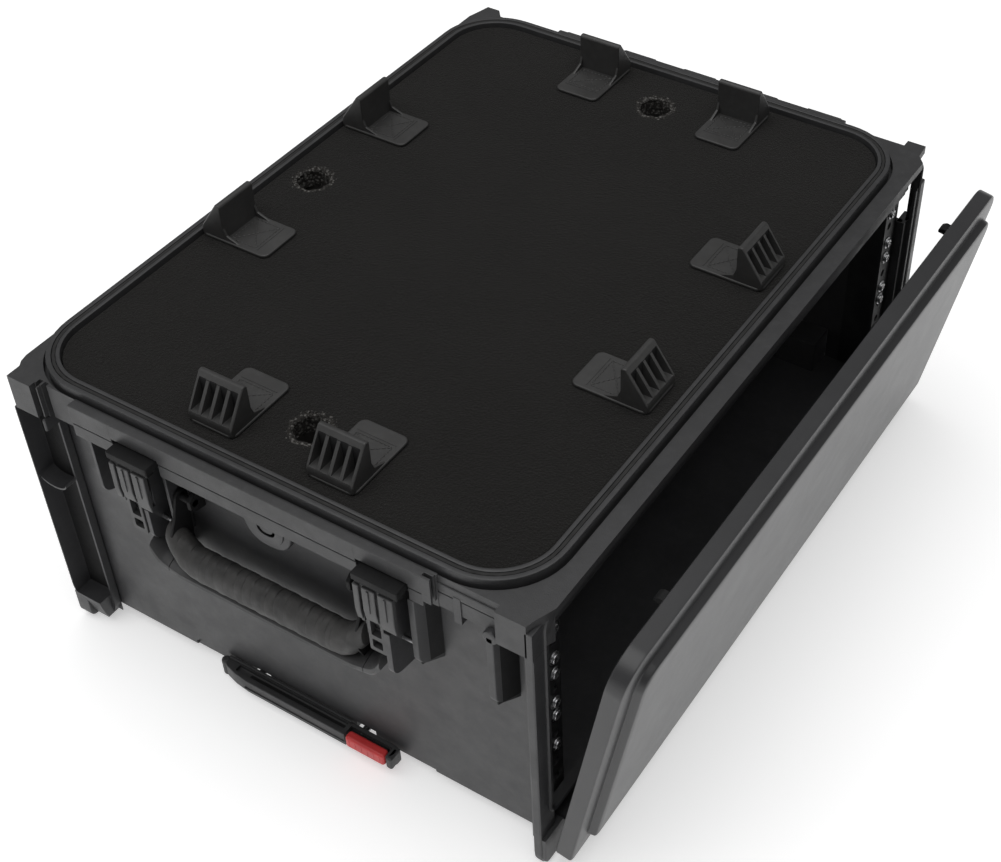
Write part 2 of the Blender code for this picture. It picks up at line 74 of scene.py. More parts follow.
# Leaning front cover
LEAN = 10.6
DOOR_X, DOOR_Z, DOOR_H, DOOR_HALF = 203.6, 18.0, 213.0, 264.0
DOOR_TOP = DOOR_Z + DOOR_H
DOOR_BACK = DOOR_X + 14.0
PEG_Y = (-200, 200)

# Latches, carry handle, trolley and wheels
LATCH_X = 94.0
LATCH_PIVOT = (-264.0, 165.0)
LEVER_FOOT_Z = 155.0
CLAW_Y = -273.8
GRIP_Y, GRIP_Z = -269.0, 151.0
HANDLE_HALF = 77.3
EAR_X = (60.4, 63.6)
NOTCH_X = 103.0
TUBE_X = 45.0
WHEEL = (125.0, 250.0, 24.5)
HINGE_X = (-108, -54, 0, 54, 108)
STABILISERS = (
    (-53, -213, 0), (38, -213, 0), (138, -75, 90), (142, 67, 90),
    (60, 213, 180), (-62, 215, 180), (-160.5, 80, 270), (-160.5, -76, 270),
)
CABLE_HOLES = ((-2.0, 206.0), (-164.0, -3.0), (-2.0, -208.0))
HOLE_R = 12.0

deck_low, deck_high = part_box("deck_frame")
SHIFT = Vector((deck_low.x - BACK_X * MM, (deck_low.y + deck_high.y) / 2, 0))
PLACES = {
    "Z": lambda a, b, level: (a, b, level),
    "X": lambda a, b, level: (level, a, b),
    "Y": lambda a, b, level: (a, level, b),
}


# ---------------------------------------------------------------- mesh helpers
def stand(name, data):
    """A new object in the scene."""
    obj = bpy.data.objects.new(name, data)
    bpy.context.scene.collection.objects.link(obj)
    return obj


def smooth_object(name, bm, move=Matrix()):
    """An object from bm, moved and shaded smooth except across its sharp edges."""
    mesh = bpy.data.meshes.new(name)
    bm.to_mesh(mesh)
    bm.free()
    mesh.transform(move)
    mesh.shade_smooth()
    mesh.set_sharp_from_angle(angle=SHARP)
    return stand(name, mesh)


def link(name, bm):
    """An object from bm, which is in case millimetres."""
    bmesh.ops.recalc_face_normals(bm, faces=bm.faces)
    return smooth_object(name, bm, Matrix.Translation(SHIFT) @ Matrix.Scale(MM, 4))


def round_edges(bm, width, segments=2, angle=35):
    """Bevels the sharp edges of a block before it is cut or joined to anything."""
    if width:
        bm.normal_update()
        limit = math.radians(angle)
        edges = [e for e in bm.edges if e.is_manifold and e.calc_face_angle(0) > limit]
        bmesh.ops.bevel(
            bm, geom=edges, offset=width, segments=segments, affect="EDGES",
            clamp_overlap=True, profile=0.5,
        )


def at(outline, level, axis="Z"):
    """The outline's (a, b) points as 3-D points at this level along axis."""
    place = PLACES[axis]
    return [place(a, b, level) for a, b in outline]


def prism(name, outline, low, high, axis="Z", edge=0.0, segments=2):
    """Solid with this outline from low to high along axis, its edges rounded by edge mm."""
    bm = bmesh.new()
    ends = [[bm.verts.new(point) for point in at(outline, level, axis)] for level in (low, high)]
    bm.faces.new(ends[0])
    bm.faces.new(ends[1][::-1])
    for i in range(len(outline)):
        j = (i + 1) % len(outline)
        bm.faces.new((ends[0][i], ends[0][j], ends[1][j], ends[1][i]))
    bmesh.ops.recalc_face_normals(bm, faces=bm.faces)
    round_edges(bm, edge, segments)
    return link(name, bm)


def sweep(name, loops, closed=True, caps=False):
    """Skin through loops of 3-D points with equal counts; closed joins the last loop to the first."""
    bm = bmesh.new()
    rows = [[bm.verts.new(point) for point in loop] for loop in loops]
    pairs = zip(rows, rows[1:] + rows[:1]) if closed else zip(rows, rows[1:])
    for first, second in pairs:
        for i in range(len(first)):
            j = (i + 1) % len(first)
            bm.faces.new((first[i], first[j], second[j], second[i]))
    if caps:
        bm.faces.new(rows[0])
        bm.faces.new(rows[-1][::-1])
    return link(name, bm)


def rounded(a0, a1, b0, b1, radius, steps=6, low_radius=None):
    """Rectangle with round corners; low_radius is for the two at b0."""
    points = []
    low = low_radius or radius
    corners = ((a1, b1, 0, radius), (a0, b1, 90, radius), (a0, b0, 180, low), (a1, b0, 270, low))
    for a, b, start, r in corners:
        ca = a - math.copysign(r, a - (a0 + a1) / 2)
        cb = b - math.copysign(r, b - (b0 + b1) / 2)
        for k in range(steps + 1):
            turn = math.radians(start + 90 * k / steps)
            points.append((ca + r * math.cos(turn), cb + r * math.sin(turn)))
    return points


def circle(a, b, radius, sides=24):
    turns = [2 * math.pi * k / sides for k in range(sides)]
    return [(a + radius * math.cos(turn), b + radius * math.sin(turn)) for turn in turns]


def box(name, x0, x1, y0, y1, z0, z1, edge=0.5, segments=2):
    return prism(name, ((x0, y0), (x1, y0), (x1, y1), (x0, y1)), z0, z1, "Z", edge, segments)


def rod(name, axis, a, b, radius, low, high, edge=0.3, sides=24):
    return prism(name, circle(a, b, radius, sides), low, high, axis, edge)


def bake(obj):
    """Turns the object's modifiers into its mesh."""
    graph = bpy.context.evaluated_depsgraph_get()
    mesh = bpy.data.meshes.new_from_object(obj.evaluated_get(graph))
    obj.modifiers.clear()
    obj.data = mesh
    return obj


def carve(obj, *cutters):
    """Cuts the other solids out and deletes them."""
    for cutter in cutters:
        modifier = obj.modifiers.new("cut", "BOOLEAN")
        modifier.operation = "DIFFERENCE"
        modifier.solver = "EXACT"
        modifier.object = cutter
    bpy.context.view_layer.update()
    bake(obj)
    for cutter in cutters:
        bpy.data.objects.remove(cutter, do_unlink=True)
    obj.data.set_sharp_from_angle(angle=SHARP)
    return obj


def weld(name, *objs):
    """Joins the solids into one object called name."""
    bm = bmesh.new()
    for obj in objs:
        bm.from_mesh(obj.data)
        bpy.data.objects.remove(obj, do_unlink=True)
    return smooth_object(name, bm)


def mirror_pair(sign, low, high):
    """The range low to high, mirrored through zero when sign is negative."""
    return (low, high) if sign > 0 else (-high, -low)


def turned(obj, degrees, about, axis="Y"):
    """Turns the mesh about a line through about, in case millimetres."""
    centre = Vector(about) * MM + SHIFT
    turn = Matrix.Rotation(math.radians(degrees), 4, axis)
    obj.data.transform(Matrix.Translation(centre) @ turn @ Matrix.Translation(-centre))
    return obj


def lean(obj):
    """Tilts a piece that was drawn upright into the leaning cover's position."""
    return turned(obj, LEAN, (DOOR_X, 0, DOOR_Z))


def place(obj, shade, body, slot_name, *nodes):
    """Finishes a piece: its material, its body and the CAD nodes that it stands for; slot_name is not used.
    """
    obj.data.materials.clear()
    obj.data.materials.append(shade)
    normals = obj.modifiers.new("Normals", "WEIGHTED_NORMAL")
    normals.keep_sharp = True
    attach(obj, body)
    if nodes:
        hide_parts(*nodes)
    return obj


def coat(node, shade):
    """Gives a carried-over CAD node a finished material."""
    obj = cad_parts[node]
    obj.data.materials.clear()
    obj.data.materials.append(shade)


# ---------------------------------------------------------------- materials
class Shade:
    """A small builder for one procedural material."""

    def __init__(self, name):
        self.material = bpy.data.materials.new(name)
        self.material.use_nodes = True
        self.tree = self.material.node_tree
        self.shader = self.tree.nodes["Principled BSDF"]
        self.coords = self.tree.nodes.new("ShaderNodeTexCoord").outputs["Object"]

    def feed(self, socket, value):
        """Links the value into the socket if it is a socket itself, or sets it there."""
        if isinstance(value, bpy.types.NodeSocket):
            self.tree.links.new(value, socket)
        else:
            socket.default_value = value

    def node(self, kind, **inputs):
        node = self.tree.nodes.new(kind)
        for key, value in inputs.items():
            self.feed(node.inputs[key.replace("_", " ")], value)
        return node

    def noise(self, scale, detail=2.0, rough=0.5, stretch=(1, 1, 1)):
        mapping = self.node("ShaderNodeMapping", Vector=self.coords, Scale=stretch)
        return self.node(
            "ShaderNodeTexNoise", Vector=mapping.outputs[0], Scale=scale, Detail=detail, Roughness=rough
        ).outputs["Fac"]

    def cells(self, scale, stretch=(1, 1, 1)):
        mapping = self.node("ShaderNodeMapping", Vector=self.coords, Scale=stretch)
        return self.node("ShaderNodeTexVoronoi", Vector=mapping.outputs[0], Scale=scale).outputs["Distance"]

    def remap(self, value, low=0.3, high=0.7, to_low=0.0, to_high=1.0):
        node = self.node("ShaderNodeMapRange", Value=value)
        for index, number in zip((1, 2, 3, 4), (low, high, to_low, to_high)):
            node.inputs[index].default_value = number
        return node.outputs[0]

    def maths(self, operation, a, b):
        node = self.tree.nodes.new("ShaderNodeMath")
        node.operation = operation
        for socket, value in zip(node.inputs, (a, b)):
            self.feed(socket, value)
        return node.outputs[0]

    def mix(self, factor, first, second):
        node = self.tree.nodes.new("ShaderNodeMix")
        node.data_type = "RGBA"
        self.feed(node.inputs["Factor"], factor)
        for name, colour in (("A", first), ("B", second)):
            socket = [s for s in node.inputs if s.name == name and s.type == "RGBA"][0]
            self.feed(socket, (*colour, 1.0) if isinstance(colour, tuple) else colour)
        return [s for s in node.outputs if s.type == "RGBA"][0]

    def bump(self, height, strength, distance):
        return self.node("ShaderNodeBump", Height=height, Strength=strength, Distance=distance).outputs[0]

    def finish(self, colour, roughness, normal=None, **constants):
        inputs = {"Base Color": colour, "Roughness": roughness, **constants}
        if normal is not None:
            inputs["Normal"] = normal
        for key, value in inputs.items():
            self.feed(self.shader.inputs[key.replace("_", " ")], value)
        return self.material


def grained_plastic(name, dark, light, rough=0.45, grain=1400.0, depth=0.00012, patchy=1.0, shine=0.5):
    """Moulded plastic: fine leather-like grain, faint flow marks and dust."""
    s = Shade(name)
    flow = s.noise(9.0, 3.0, 0.6)
    dust = s.remap(s.noise(160.0, 4.0, 0.7), 0.45, 0.75, 0.0, 0.35 * patchy)
    cloud = s.remap(flow)
    colour = s.mix(cloud, dark, light)
    colour = s.mix(dust, colour, tuple(1.6 * c for c in light))
    pits = s.cells(grain)
    fine = s.noise(grain * 1.7, 2.0, 0.6)
    height = s.maths("ADD", pits, s.maths("MULTIPLY", fine, 0.5))
    normal = s.bump(height, 0.5, depth)
    roughness = s.remap(s.noise(45.0, 4.0, 0.65), 0.3, 0.7, rough - 0.07 * patchy, rough + 0.09 * patchy)
    return s.finish(colour, roughness, normal, Specular_IOR_Level=shine)


def rubber(name, tone, grain=900.0, rough=0.7):
    """Dull rubber with a fine grain."""
    s = Shade(name)
    blotch = s.remap(s.noise(55.0, 4.0, 0.7))
    colour = s.mix(blotch, (tone * 0.7,) * 3, (tone * 1.5, tone * 1.45, tone * 1.4))
    normal = s.bump(s.noise(grain, 3.0, 0.7), 0.6, 0.0002)
    return s.finish(colour, s.remap(s.noise(120.0), 0.3, 0.7, rough - 0.08, rough + 0.12), normal)


def carpet_pile(name):
    """Needle-punched carpet: short matted fibres over foam, with lint and worn patches."""
    s = Shade(name)
    fibres = s.noise(1500.0, 5.0, 0.8)
    tufts = s.cells(700.0)
    patches = s.noise(14.0, 4.0, 0.6)
    colour = s.mix(s.remap(fibres, 0.35, 0.72, 0.0, 1.0), (0.004, 0.0039, 0.0037), (0.021, 0.0195, 0.018))
    colour = s.mix(s.remap(patches, 0.4, 0.65, 0.0, 0.4), colour, (0.015, 0.0142, 0.0132))
    lint = s.remap(s.noise(620.0, 2.0, 0.5), 0.72, 0.8, 0.0, 0.5)
    colour = s.mix(lint, colour, (0.09, 0.088, 0.085))
    height = s.maths("ADD", s.maths("MULTIPLY", tufts, 0.6), fibres)
    normal = s.bump(height, 0.9, 0.0009)
    return s.finish(
        colour, 0.96, normal, Sheen_Weight=0.08, Sheen_Roughness=0.5, Specular_IOR_Level=0.12)


def torn_foam(name):
    """Crumbly cut edge of open-cell foam round a cable hole."""
    s = Shade(name)
    cells = s.cells(420.0)
    specks = s.noise(900.0, 4.0, 0.8)
    colour = s.mix(s.remap(cells, 0.1, 0.5, 0.0, 1.0), (0.2, 0.195, 0.185), (0.03, 0.028, 0.026))
    colour = s.mix(s.remap(specks, 0.55, 0.75, 0.0, 0.7), colour, (0.36, 0.35, 0.33))
    normal = s.bump(s.maths("ADD", cells, specks), 1.0, 0.0015)
    return s.finish(colour, 0.92, normal, Specular_IOR_Level=0.2)


def metal(name, tone, rough, stretch=(1, 1, 1), scale=600.0):
    """Bare metal with fine streaks, which stretch draws out along one axis."""
    s = Shade(name)
    streaks = s.noise(scale, 3.0, 0.6, stretch)
    colour = s.mix(s.remap(streaks), tuple(0.8 * c for c in tone), tone)
    normal = s.bump(streaks, 0.25, 0.00004)
    roughness = s.remap(s.noise(90.0, 3.0), 0.3, 0.7, rough - 0.06, rough + 0.1)
    return s.finish(colour, roughness, normal, Metallic=1.0)


def powder_coat(name):
    """Black textured coating of the rack rails."""
    s = Shade(name)
    blotch = s.remap(s.noise(70.0, 4.0), 0.35, 0.7, 0.0, 1.0)
    colour = s.mix(blotch, (0.009, 0.009, 0.0095), (0.02, 0.02, 0.021))
    normal = s.bump(s.noise(1900.0, 2.0, 0.5), 0.5, 0.0001)
    return s.finish(colour, s.remap(s.noise(200.0), 0.3, 0.7, 0.4, 0.55), normal)


def red_plastic(name):
    """Scuffed red plastic of the release button."""
    s = Shade(name)
    colour = s.mix(s.remap(s.noise(60.0, 3.0)), (0.5, 0.028, 0.03), (0.66, 0.05, 0.05))
    colour = s.mix(s.remap(s.noise(300.0, 5.0, 0.8), 0.6, 0.8, 0.0, 0.3), colour, (0.35, 0.02, 0.02))
    normal = s.bump(s.noise(1500.0, 2.0), 0.35, 0.00008)
    return s.finish(colour, s.remap(s.noise(150.0), 0.3, 0.7, 0.3, 0.45), normal)


def painted_board(name):
    """Black-stained plywood under the foam."""
    s = Shade(name)
    grain = s.noise(60.0, 5.0, 0.6, (1, 12, 12))
    colour = s.mix(s.remap(grain), (0.008, 0.0075, 0.007), (0.02, 0.018, 0.016))
    return s.finish(colour, 0.8, s.bump(grain, 0.5, 0.0003))


BODY = grained_plastic("body_plastic", (0.028, 0.028, 0.0295), (0.036, 0.036, 0.038), 0.43)
DECK = grained_plastic("deck_plastic", (0.03, 0.03, 0.031), (0.04, 0.04, 0.0415), 0.46)
COVER = grained_plastic(
    "cover_plastic", (0.03, 0.03, 0.0315), (0.038, 0.038, 0.04), 0.36, 1700.0, 0.00008, patchy=0.25)
LATCH = grained_plastic("latch_plastic", (0.03, 0.03, 0.0305), (0.042, 0.042, 0.043), 0.42, 1900.0, 0.00006)
BLOCK = grained_plastic("block_plastic", (0.03, 0.0295, 0.029), (0.042, 0.0415, 0.041), 0.4, 1900.0, 0.00006)
HANDLE = grained_plastic("handle_plastic", (0.027, 0.027, 0.028), (0.037, 0.037, 0.038), 0.48, 1500.0)
# Near-black plastic of the real dark parts; it also colours slabs of painted shade on the fins' sides and
# behind the stabilisers' slots
DARK_PLASTIC_AND_PAINTED_SHADE = grained_plastic(
    "dark_plastic_and_painted_shade", (0.006, 0.006, 0.0062), (0.01, 0.01, 0.0105), 0.6, shine=0.2)
SEAL = rubber("seal_rubber", 0.012)
GRIP_RUBBER = rubber("grip_rubber", 0.032, 700.0, 0.62)
TYRE = rubber("tyre_rubber", 0.018, 500.0)
CARPET = carpet_pile("carpet_pile")
FOAM = torn_foam("torn_foam")
STEEL = metal("bright_steel", (0.62, 0.62, 0.63), 0.3)
TUBE = metal("tube_aluminium", (0.7, 0.71, 0.72), 0.28, (1, 0.02, 1), 2200.0)
COATED = powder_coat("powder_coat")
RED = red_plastic("button_red")
BOARD = painted_board("painted_board")


# ---------------------------------------------------------------- deck
def rib_outline(inset, steps=12):
    x0, x1, y0, y1, radius = RIB
    return rounded(x0 + inset, x1 - inset, y0 + inset, y1 - inset, radius - inset, steps)


def deck_outline():
    """The rim from above: four corner blocks, the latch side's long edge and the hinge seat."""
    return (
        (-202, -247), (-200.6, -253), (-198, -257), (-198, -268), (-178.6, -268), (-178.6, -263.2),
        (-169.6, -263.2), (-169.6, -262), (-146, -262), (-146, -262.2), (123, -262.2), (123, -262),
        (171.7, -262), (171.7, -268), (192.4, -268), (194.4, -260.6), (196.4, -256), (199.5, -248),
        (199.5, 247), (193.6, 254), (192.6, 268), (178.4, 268), (178.4, 261), (-129, 261),
        (-179.7, 260.5), (-186, 268), (-197.2, 268), (-199.7, 257), (-202, 248),
    )


def deck():
    plate = prism("deck_plate", deck_outline(), BAND_Z, TOP_Z, "Z", 0.8)
    mouth = box("mouth", 191, 201, -MOUTH_Y, MOUTH_Y, BAND_Z - 1, LIP_Z, 0)
    window = box("window", *WINDOW_X, 248, 270, BAND_Z - 1, LIP_Z, 0)
    cuts = [prism("hole", rib_outline(-TROUGH), BAND_Z - 1, TOP_Z + 1), mouth, window]
    for side in (-1, 1):
        x = side * LATCH_X
        cuts.append(box("notch", x - 18, x + 18, -270, -262.1, BAND_Z - 1, 222, 0))
    for x in (-178, -173.2):
        cuts.append(box("corner_slot", x + 0.4, x + 3.6, -266, -259.5, 205, TOP_Z + 1, 0))
    carve(plate, *cuts)
    outer, inner = rib_outline(-TROUGH - 0.2), rib_outline(2)
    low, high = TOP_Z - 8, TOP_Z - 5.5
    floor = sweep("trough", [at(outer, low), at(outer, high), at(inner, high), at(inner, low)])
    skirt = sweep("skirt", [
        at(rib_outline(3), LIP_Z), at(rib_outline(RIB_WIDTH), LIP_Z),
        at(rib_outline(RIB_WIDTH), 208.2), at(rib_outline(3), 208.2),
    ])
    carve(skirt, box("skirt_mouth", 168, 201, -262, 262, 207, LIP_Z + 1, 0))
    return weld("deck_rim", plate, floor, skirt)


def rib():
    """The raised rim: two rounded lines with the seal's groove between them."""
    groove = RIB_TOP - 2.8
    edge, shoulder, crest = RIB_TOP - 0.9, RIB_TOP - 0.3, RIB_TOP - 0.25
    profile = (
        (0, 230), (0, edge), (0.3, crest), (1.0, RIB_TOP), (2.8, RIB_TOP), (3.4, shoulder), (3.6, edge),
        (3.6, groove), (6.2, groove), (6.2, edge), (6.4, shoulder), (7.0, RIB_TOP), (8.3, RIB_TOP),
        (8.95, crest), (RIB_WIDTH, edge), (RIB_WIDTH, 228),
    )
    return sweep("deck_rib", [at(rib_outline(inset), z) for inset, z in profile])


def latch_band():
    """The band under the lid's edge on the latch side: upper and lower strips with a parting line."""
    parts = []
    for x0, x1 in ((-146, -112.4), (-75.6, 75.6), (112.4, 122.6)):
        parts.append(box("strip", x0, x1, BAND_Y, BAND_ROOT_Y, 220.2, TOP_Z, 0.7))
        parts.append(box("strip_low", x0, x1, -HALF_Y, BAND_ROOT_Y, BAND_Z + 1, 219.2, 0.6))
        parts.append(box("strip_core", x0 + 1, x1 - 1, -266.8, BAND_ROOT_Y, 212, 228, 0))
    for x0, x1 in ((-113, -75), (75, 113)):
        parts.append(box("strip_bridge", x0, x1, BAND_Y, BAND_ROOT_Y, 222.4, TOP_Z, 0.7))
    # The band's cut end shows a channel section
    for y0, y1 in ((BAND_Y, -266.6), (-264.6, -262.8)):
        parts.append(box("channel", 122, 128.6, y0, y1, 214, TOP_Z, 0.4))
    parts.append(box("channel_root", 122, 129.6, -263, BAND_ROOT_Y, BAND_Z, TOP_Z, 0.4))
    parts.append(box("right_line", 129, 171.8, -263, BAND_ROOT_Y, 222, LIP_Z, 0.6))
    parts.append(box("right_low", 129, 171.8, -262.6, -250, 208.5, 221, 0.6))
    return weld("deck_band", *parts)


def corner_details():
    """Steps under the corner blocks, and the thin rib beside the near left one's slots."""
    parts = [
        box("block_step", -197.4, -179.4, -267.6, -256, 208.4, 217, 0.8),
        box("block_rib", -175.1, -173.9, -266.2, -260, 209, 234.2, 0.3),
        box("block_step_right", 173.4, 191.6, -267.6, -256, 208.4, 217, 0.8),
        box("block_back", -196, -187, 256, 267.4, 208.4, 217, 0.8),
    ]
    return weld("deck_corners", *parts)


# ---------------------------------------------------------------- body
def shell():
    """The wall tray: bay, lower notch, trolley slots, wheel wells, cable holes and corner window."""
    body = box("shell", -BODY_X, BODY_X, -WALL_Y, WALL_Y, BODY_Z0, BODY_TOP, 1.2)
    inside = WALL_Y - WALL
    past = BODY_X + 1
    cuts = [box("bay", -past, past, -inside, inside, FLOOR_Z, 204.5, 0)]
    slope = NOTCH_X - 6
    notch = [(-NOTCH_X, 11), (-NOTCH_X, 17), (-slope, 23), (slope, 23), (NOTCH_X, 17), (NOTCH_X, 11)]
    cuts.append(prism("notch", notch, -252, -240, "Y"))
    for side in (-1, 1):
        x0, x1 = mirror_pair(side, TUBE_X - 7, TUBE_X + 7)
        cuts.append(box("tube_slot", x0, x1, -252, 196, BODY_Z0 - 1, 22.5, 0))
        x0, x1 = mirror_pair(side, WHEEL[0] - 17, WHEEL[0] + 17)
        cuts.append(box("well", x0, x1, 223, 252, BODY_Z0 - 1, 52, 0))
    cuts.append(box("corner_window", WINDOW_X[0], 192, inside - 1, WALL_Y + 1, WINDOW_Z, 209, 0))
    for x, y in CABLE_HOLES:
        cuts.append(rod("hole", "Z", x, y, HOLE_R, 200, 209, 0))
    carve(body, *cuts)
    ribs = []
    for x0, x1 in ((-NOTCH_X, -53), (-37, 37), (53, NOTCH_X)):
        ribs.append(box("notch_back", x0, x1, -249.4, -240, BODY_Z0, 23.4, 0))
    for k in range(5):
        y = -180 + 90 * k
        ribs.append(box("floor_rib", -186, 186, y - 1.5, y + 1.5, BODY_Z0 - 0.6, BODY_Z0 + 1, 0.5))
    return weld("case_body", body, *ribs)


def fin(x0, x1, low, top, reach, flare=0.0):
    """A plate standing out of the latch-side wall to y = -reach, round at its lower corner.

    Its +X face slants, so that the plate is wider by flare at the wall.
    """
    root = -WALL_Y + 1
    depth = reach + root
    radius = min(9.0, depth * 0.6)
    tip = -reach
    arc = []
    for degrees in range(75, -1, -15):
        turn = math.radians(degrees)
        arc.append((tip + radius - radius * math.cos(turn), low + radius + 3 - radius * math.sin(turn)))
    outline = [(root, low), *arc, (tip, top), (root, top)]
    plate = prism("fin", outline, x0, x1, "X", 0.5)
    for vertex in plate.data.vertices:
        point = (vertex.co - SHIFT) / MM
        if flare and point.x > (x0 + x1) / 2:
            vertex.co.x += MM * flare * (reach + point.y) / depth
    return plate


def shoulders():
    """The flange's ends, which stay on the case under the latches when the handle swings up."""
    parts = []
    for side in (-1, 1):
        parts.append(flange("shoulder", *mirror_pair(side, 77.8, 91.0), 12))
        parts.append(box("shoulder_root", *mirror_pair(side, 79, 89), -259, -250.5, 132, 141, 0.8))
    return weld("handle_shoulders", *parts)


def wall_fins():
    """The latch-side wall's ribs, hook and dome: (x0, x1, low, top, reach) for each plain rib."""
    parts = [
        fin(-151, -148.8, 195, 221, 261), fin(-136, -133.6, 158, 209, 267.5),
        fin(-116, -113.4, 156, 208, 267.5), fin(-91.0, -87.0, 141, 208, 268),
        fin(96.6, 101.2, 134, 208, 268), fin(96.7, 101.1, 134.6, 178, 276.2),
        fin(-90.9, -87.1, 146, 178, 274.6), fin(76.5, 78.8, 150, 208, 266),
        fin(110.2, 114.4, 145, 208, 267.5, flare=6.5), fin(-77, -74.4, 150, 208, 266),
        fin(164.0, 168.6, 143, 208, 267.0, flare=6.5),
        box("hook_tab", 140, 145.4, -263.4, -250, 202, 224, 0.6),
        prism("dome", circle(166.5, 207.5, 5.2, 20), -267, -258, "Y", 1.6),
        box("pad_left", 130, 143.5, -253.2, -250, 196, 208, 0.8),
    ]
    return weld("wall_fins", *parts)


def handle_ears():
    """The two wall ears that carry the handle's pins."""
    root = -WALL_Y + 0.5
    outline = ((root, 177), (-259, 179), (-263.4, 182.6), (-263.4, 189.4), (-259, 193), (root, 195))
    ears = [prism("ear", outline, *mirror_pair(side, *EAR_X), "X", 0.6) for side in (-1, 1)]
    return weld("handle_ears", *ears)


def fin_painted_shade():
    """Dark slabs over the +X faces of the two draughted fins: painted shade, standing in for the shadow on
    those faces.
    """
    parts = []
    for x1, low in ((114.4, 145), (168.6, 143)):
        outline = ((x1 + 0.4, -265.6), (x1 + 6.5, -251.4), (x1 + 5.5, -251.4), (x1 - 0.6, -265.6))
        parts.append(prism("shade", outline, low + 4.5, 206.4, "Z", 0.2))
    return weld("fin_painted_shade", *parts)


ROUND_FOOT = ((253, 3), (255.5, 0.8), (259, 0), (262.5, 0.8), (265.5, 3.4), (267.4, 8), (HALF_Y, 14))
LONG_FOOT = (
    (252.4, 2.4), (254, 0.5), (256.6, 0), (259.4, 1.6), (262.2, 6.5), (264.8, 14), (266.8, 23),
    (HALF_Y, 34),
)


def post(x0, x1, edge, foot=ROUND_FOOT):
    """End post whose foot follows (y, z) points; edge is -1 on the latch side and 1 on the hinge side."""
    wall = edge * (WALL_Y + 0.3)
    outline = [(wall, 8), *((edge * y, z) for y, z in foot), (edge * HALF_Y, POST_TOP), (wall, POST_TOP)]
    return prism("post", outline, x0, x1, "X", 1.2, 3)


def channel_post(x0, x1, edge):
    """The wide back post: an open channel between two thin walls, with a curved web across it."""
    column = post(x0, x1, edge, LONG_FOOT)
    deep = box("deep", x0 + 1.7, x1 - 1.7, *mirror_pair(edge, 253, 271), 27, 209, 1.2)
    shallow = box("shallow", x1 - 3, x1 + 1, *mirror_pair(edge, 257.6, 271), -1, 198, 0)
    corner = ((x1 + 1, -1), (x1 + 1, 22), (x1 - 0.7, 15), (x1 - 3.5, 8), (x1 - 8, 3), (x1 - 14, -1))
    carve(column, deep, shallow, prism("corner", corner, *mirror_pair(edge, 251.7, 271), "Y"))
    middle, half = (x0 + x1) / 2, (x1 - x0) / 2 - 1
    turns = [math.pi * (1 + k / 12) for k in range(13)]
    lower = [(middle + half * math.cos(t), 146 + 7 * math.sin(t)) for t in turns]
    upper = [(px, z + 1.4) for px, z in lower[::-1]]
    web = prism("web", lower + upper, *mirror_pair(edge, 252, 266.5), "Y")
    return [column, web]


def channel_dark_plate(edge):
    """A dark plate across the back of one channel post, much darker than the post's own plastic."""
    name = "channel_lining_front" if edge < 0 else "channel_lining_hinge"
    return box(name, -199, -176, *mirror_pair(edge, 252.6, 253.6), 28, 207, 0.2)


def front_lip():
    """Thin rounded lip round the open front, standing off the posts."""
    root, edge = 190, 196.9
    outer = rounded(-257.4, 257.4, 44, LIP_Z + 2.6, 9, 8)
    middle = rounded(-256.3, 256.3, 45.1, LIP_Z + 1.5, 8, 8)
    inner = rounded(-255.2, 255.2, 46.2, LIP_Z + 0.4, 7, 8)
    rows = ((outer, root), (outer, edge), (middle, edge + 0.8), (inner, edge), (inner, root))
    return sweep("lip", [at(outline, x, "X") for outline, x in rows])


def end_frame(name, side):
    """Frame ring and posts of the front end (side 1) or the back end (side -1)."""
    face = FRONT_X - 0.4 if side > 0 else 0.4 - BACK_X
    x0, x1 = mirror_pair(side, BODY_X + 0.3, face)
    ring = prism("ring", rounded(-HALF_Y + 1, HALF_Y - 1, 4, POST_TOP, 5, 4), x0, x1, "X", 1.0)
    clear = 246.4 if side > 0 else 243
    cuts = [prism("opening", rounded(-clear, clear, FLOOR_Z + 0.6, 204, 6, 4), x0 - 1, x1 + 1, "X")]
    if side > 0:
        cuts.append(box("mouth", 193, face + 2, -MOUTH_Y, MOUTH_Y, 203, 209, 0))
        cuts.append(box("open_top", 189, face + 2, -259, 259, 30, 209, 0))
        cuts.append(box("outer_trim", 195.4, face + 2, -269, 269, 30, 209, 0))
    else:
        a, b = mirror_pair(side, face - 2.4, face + 1)
        channel = carve(
            prism("channel", rounded(-261, 261, 9, 206, 9, 4), a, b, "X"),
            prism("island", rounded(-251.5, 251.5, 17, 210, 7, 4), a - 1, b + 1, "X"),
        )
        cuts.append(channel)
        for edge in (-1, 1):
            cuts.append(box("post_room", x0 - 1, x1 + 1, *mirror_pair(edge, 252, 270), 26, 209, 0))
    carve(ring, *cuts)
    parts = [ring]
    for edge in (-1, 1):
        if side < 0:
            parts += channel_post(-201, -174, edge)
            continue
        column = post(190.5, 196.4, edge)
        wall = box("wall", 186, 192.5, *mirror_pair(edge, 246.6, 262), 20, 207.5, 0.5)
        if edge > 0:
            window = (240, 272, WINDOW_Z, 209, 0)
            carve(column, box("window", 188, 194, *window))
            carve(wall, box("window", *WINDOW_X, *window))
        parts += [column, wall]
    if side > 0:
        for y in (-180, 0, 180):
            parts.append(box("sill", face - 0.6, DOOR_X + 9, y - 20, y + 20, 10, DOOR_Z - 3.2, 0.8))
        parts.append(front_lip())
        parts.append(box("cheek", 190.6, 196.2, -268, -256, 206, LIP_Z, 0.6))
    return weld(name, *parts)


# ---------------------------------------------------------------- soft deck
def hole_edge(x, y, turn, rough=1.1):
    """Radius of the torn cable hole in this direction."""
    wobble = noise.noise(Vector((x + 3 * math.cos(turn), y + 3 * math.sin(turn), 0.7)))
    return HOLE_R + rough * wobble + 0.5 * math.sin(9 * turn + x)


